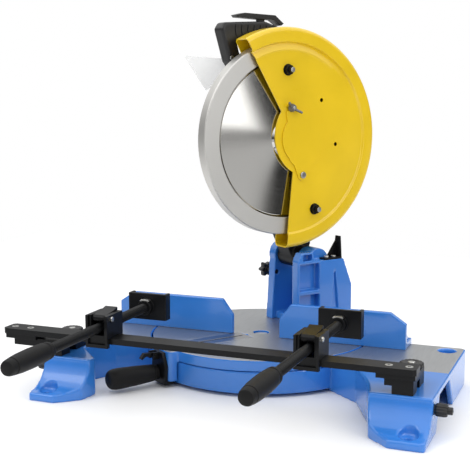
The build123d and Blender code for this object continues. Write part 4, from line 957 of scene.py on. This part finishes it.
def side_screws():
    for side, sign, outer in SIDE_SCREWS:
        name = "side_screw_" + side
        head = sorted((sign * (outer + 1.5), sign * (outer + 20.0)))
        shank = sorted((sign * (outer - 15.0), sign * (outer + 4.0)))
        tip = sorted((sign * (outer + 18.0), sign * (outer + 28.0)))
        socket = sorted((sign * (outer + 24.0), sign * (outer + 30.0)))
        screw = ribbed_knob(name + "_body", SIDE_SCREW_AT, SIDE_KNOB_R, SIDE_RIBS, SIDE_RIB_DEEP, *head, "X")
        screw = fuse(screw, rod("shank", SIDE_SHANK_R, *shank, SIDE_SCREW_AT))
        post = rod("post", SIDE_POST_R, *tip, SIDE_SCREW_AT, edge=1.2)
        post = cut(post, prism("socket", hexagon(SIDE_SCREW_AT, SIDE_SOCKET), *socket))
        dress(fuse(screw, post), "black_plastic", name, [name], turned=False)


# Mitre grip and hold-down pin
ARM_END = 226.0
BRACKET_T = 7.0
GRIP_LONG = 98.0
GRIP_AXIS = (4.0, 25.0)
HOLD_DOWN = (97.0, 164.0)
HOLD_DOWN_END = -86.0
HOLD_DOWN_R = 5.0
HOLD_DOWN_COLLAR_R = 8.0
STAR_R = 16.0
STAR_POINTS = 6
STAR_DEEP = 5.0
EAR_X = -104.0


def mitre_grip():
    near = -ARM_END - BRACKET_T - 1.5
    far = near - GRIP_LONG
    inside = -ARM_END + 9.0
    profile = ((far, 0.0), (far, 11.0), (far + 2.0, 14.4), (far + 6.0, 17.2), (far + 12.0, 18.7),
               (far + 24.0, 19.0), (far + 60.0, 17.4), (near - 14.0, 15.6), (near - 8.0, 15.2),
               (near - 6.6, 14.0), (near - 6.0, 13.4), (near, 13.4), (near, 6.0),
               (inside, 6.0), (inside, 0.0))
    grip = lathe("mitre_grip_body", profile, GRIP_AXIS, "Y", 64)
    dress(grip, "rubber_black", "mitre_grip", ["mitre_grip"])


def hold_down_knob():
    star = ribbed_knob("hold_down_star", HOLD_DOWN, STAR_R, STAR_POINTS, STAR_DEEP,
                       EAR_X - 26.0, EAR_X - 12.0, "X")
    shank = rod("shank", HOLD_DOWN_R, EAR_X - 14.0, HOLD_DOWN_END, HOLD_DOWN)
    collar = rod("collar", HOLD_DOWN_COLLAR_R, EAR_X - 13.0, EAR_X - 9.0, HOLD_DOWN)
    dress(fuse(star, shank, collar), "black_plastic", "hold_down_pin", ["hold_down_pin"])


# Handle
HANDLE_X = -45.0
HANDLE_HALF = 15.0
HANDLE_SIDES = ((1.0, "_near"), (-1.0, "_far"))
HANDLE_RIBS = 7
HANDLE_RIB_FIRST = 84.0
HANDLE_RIB_PITCH = 14.0
HANDLE_RIB = ((0.0, 192.0), (5.0, 192.0), (7.0, 204.0), (6.0, 214.0), (1.0, 214.0), (2.0, 204.0))
HANDLE_SCREWS = ((98.0, 152.0), (-26.0, 190.0), (20.0, 108.0))
HANDLE_SCREW_R = 4.2


def handle_span(side, sunk, proud):
    face = HANDLE_X + side * HANDLE_HALF
    return sorted((face - side * sunk, face + side * proud))


def handle_trim():
    for index in range(HANDLE_RIBS):
        start = HANDLE_RIB_FIRST - HANDLE_RIB_PITCH * index
        outline = head_outline([(start + forward, up) for forward, up in HANDLE_RIB])
        for side, ending in HANDLE_SIDES:
            name = "handle_rib_" + str(index + 1) + ending
            rib = prism(name, outline, *handle_span(side, 1.0, 2.0))
            dress(rounded(rib, 0.6, 2), "black_plastic", "saw_head")
    for index, place in enumerate(HANDLE_SCREWS):
        for side, ending in HANDLE_SIDES:
            name = "handle_screw_" + str(index + 1) + ending
            low, high = handle_span(side, 2.0, 1.2)
            screw = rod(name, HANDLE_SCREW_R, low, high, head_spot(*place), edge=0.7, steps=28)
            dress(screw, "zinc", "saw_head")


castings()
machined()
motor_ribs()
gearbox_trim()
brush_caps()
guard_shell()
lower_guard_dish()
studs()
cover()
cover_screw()
wing_nut()
clamp_screws()
clamp_blocks()
clamp_trim()
rail_screws()
rail_knobs()
side_screws()
mitre_grip()
hold_down_knob()
handle_trim()


# Studio, in metres: camera where the photograph was taken, soft light, pale floor
FOCAL_PIXELS = 985.7
PHOTO_PIXELS = 470.0
SENSOR = 36.0
CAMERA_AT = (0.6479, -1.7574, 0.5310)
CAMERA_DOWN = 8.3
CAMERA_TURN = 21.8
FLAG_LEAN = 0.186
LAMPS = (
    ("key", (-1.3, -1.6, 2.2), (0.0, 0.0, 0.2), 1.4, 14.0),
    ("side", (2.38, -0.92, 1.07), (0.0, 0.0, 0.4), 1.35, 13.0),
)
FLOOR_CORNERS = ((-1.4, -1.4, 0.0), (0.9, -1.4, 0.0), (0.9, 1.4, 0.0), (-1.4, 1.4, 0.0))


def photo_camera(scene):
    lens = bpy.data.cameras.new("camera")
    lens.sensor_width = SENSOR
    lens.lens = FOCAL_PIXELS / PHOTO_PIXELS * SENSOR
    camera = bpy.data.objects.new("camera", lens)
    camera.location = CAMERA_AT
    camera.rotation_euler = (math.radians(90.0 - CAMERA_DOWN), 0.0, math.radians(CAMERA_TURN))
    scene.collection.objects.link(camera)
    scene.camera = camera


# A dark flag beside the saw, leaning a little, gives the bright lower guard a dark band to reflect.
def soft_sky(scene):
    scene.world = bpy.data.worlds.new("studio")
    sky = Sky(scene.world)
    way = sky.node("ShaderNodeTexCoord", output="Generated")
    right, back, height = (sky.part_of(way, axis) for axis in range(3))
    seen = sky.node("ShaderNodeLightPath", output="Is Camera Ray")
    ceiling = sky.spread(height, 0.02, 0.65, 0.06, 1.4)
    ground = sky.spread(height, -0.01, -0.08, 0.0, 0.62)
    lean = back + height * FLAG_LEAN
    flag = sky.spread(lean, -0.09, -0.06, 0.0, 1.0) * sky.spread(back, 0.04, 0.12, 1.0, 0.0)
    flag *= sky.spread(right, 0.5, 0.8, 0.0, 1.0)
    flag *= sky.spread(height, -0.3, -0.24, 0.0, 1.0) * sky.spread(height, 0.14, 0.2, 1.0, 0.0)
    sky.feed("Color", (1.0, 1.0, 1.0))
    sky.feed("Strength", seen + (1.0 - seen) * (ceiling + ground) * (1.0 - flag))


def soft_lamps(scene):
    for name, place, target, size, power in LAMPS:
        lamp = bpy.data.lights.new(name, "AREA")
        lamp.size = size
        lamp.energy = power
        holder = bpy.data.objects.new(name, lamp)
        holder.location = Vector(place)
        holder.rotation_euler = (Vector(target) - Vector(place)).to_track_quat("-Z", "Y").to_euler()
        scene.collection.objects.link(holder)


def pale_floor(scene):
    sheet = bpy.data.meshes.new("floor")
    sheet.from_pydata(FLOOR_CORNERS, [], [(0, 1, 2, 3)])
    floor = bpy.data.objects.new("floor", sheet)
    paper = Finish("floor_paper", (0.92, 0.92, 0.92), 0.8)
    paper.feed("Roughness", 0.75 + paper.noise(5.0) * 0.1)
    sheet.materials.append(paper.material)
    scene.collection.objects.link(floor)


studio = bpy.context.scene
studio.view_settings.view_transform = "Standard"
photo_camera(studio)
soft_sky(studio)
soft_lamps(studio)
pale_floor(studio)
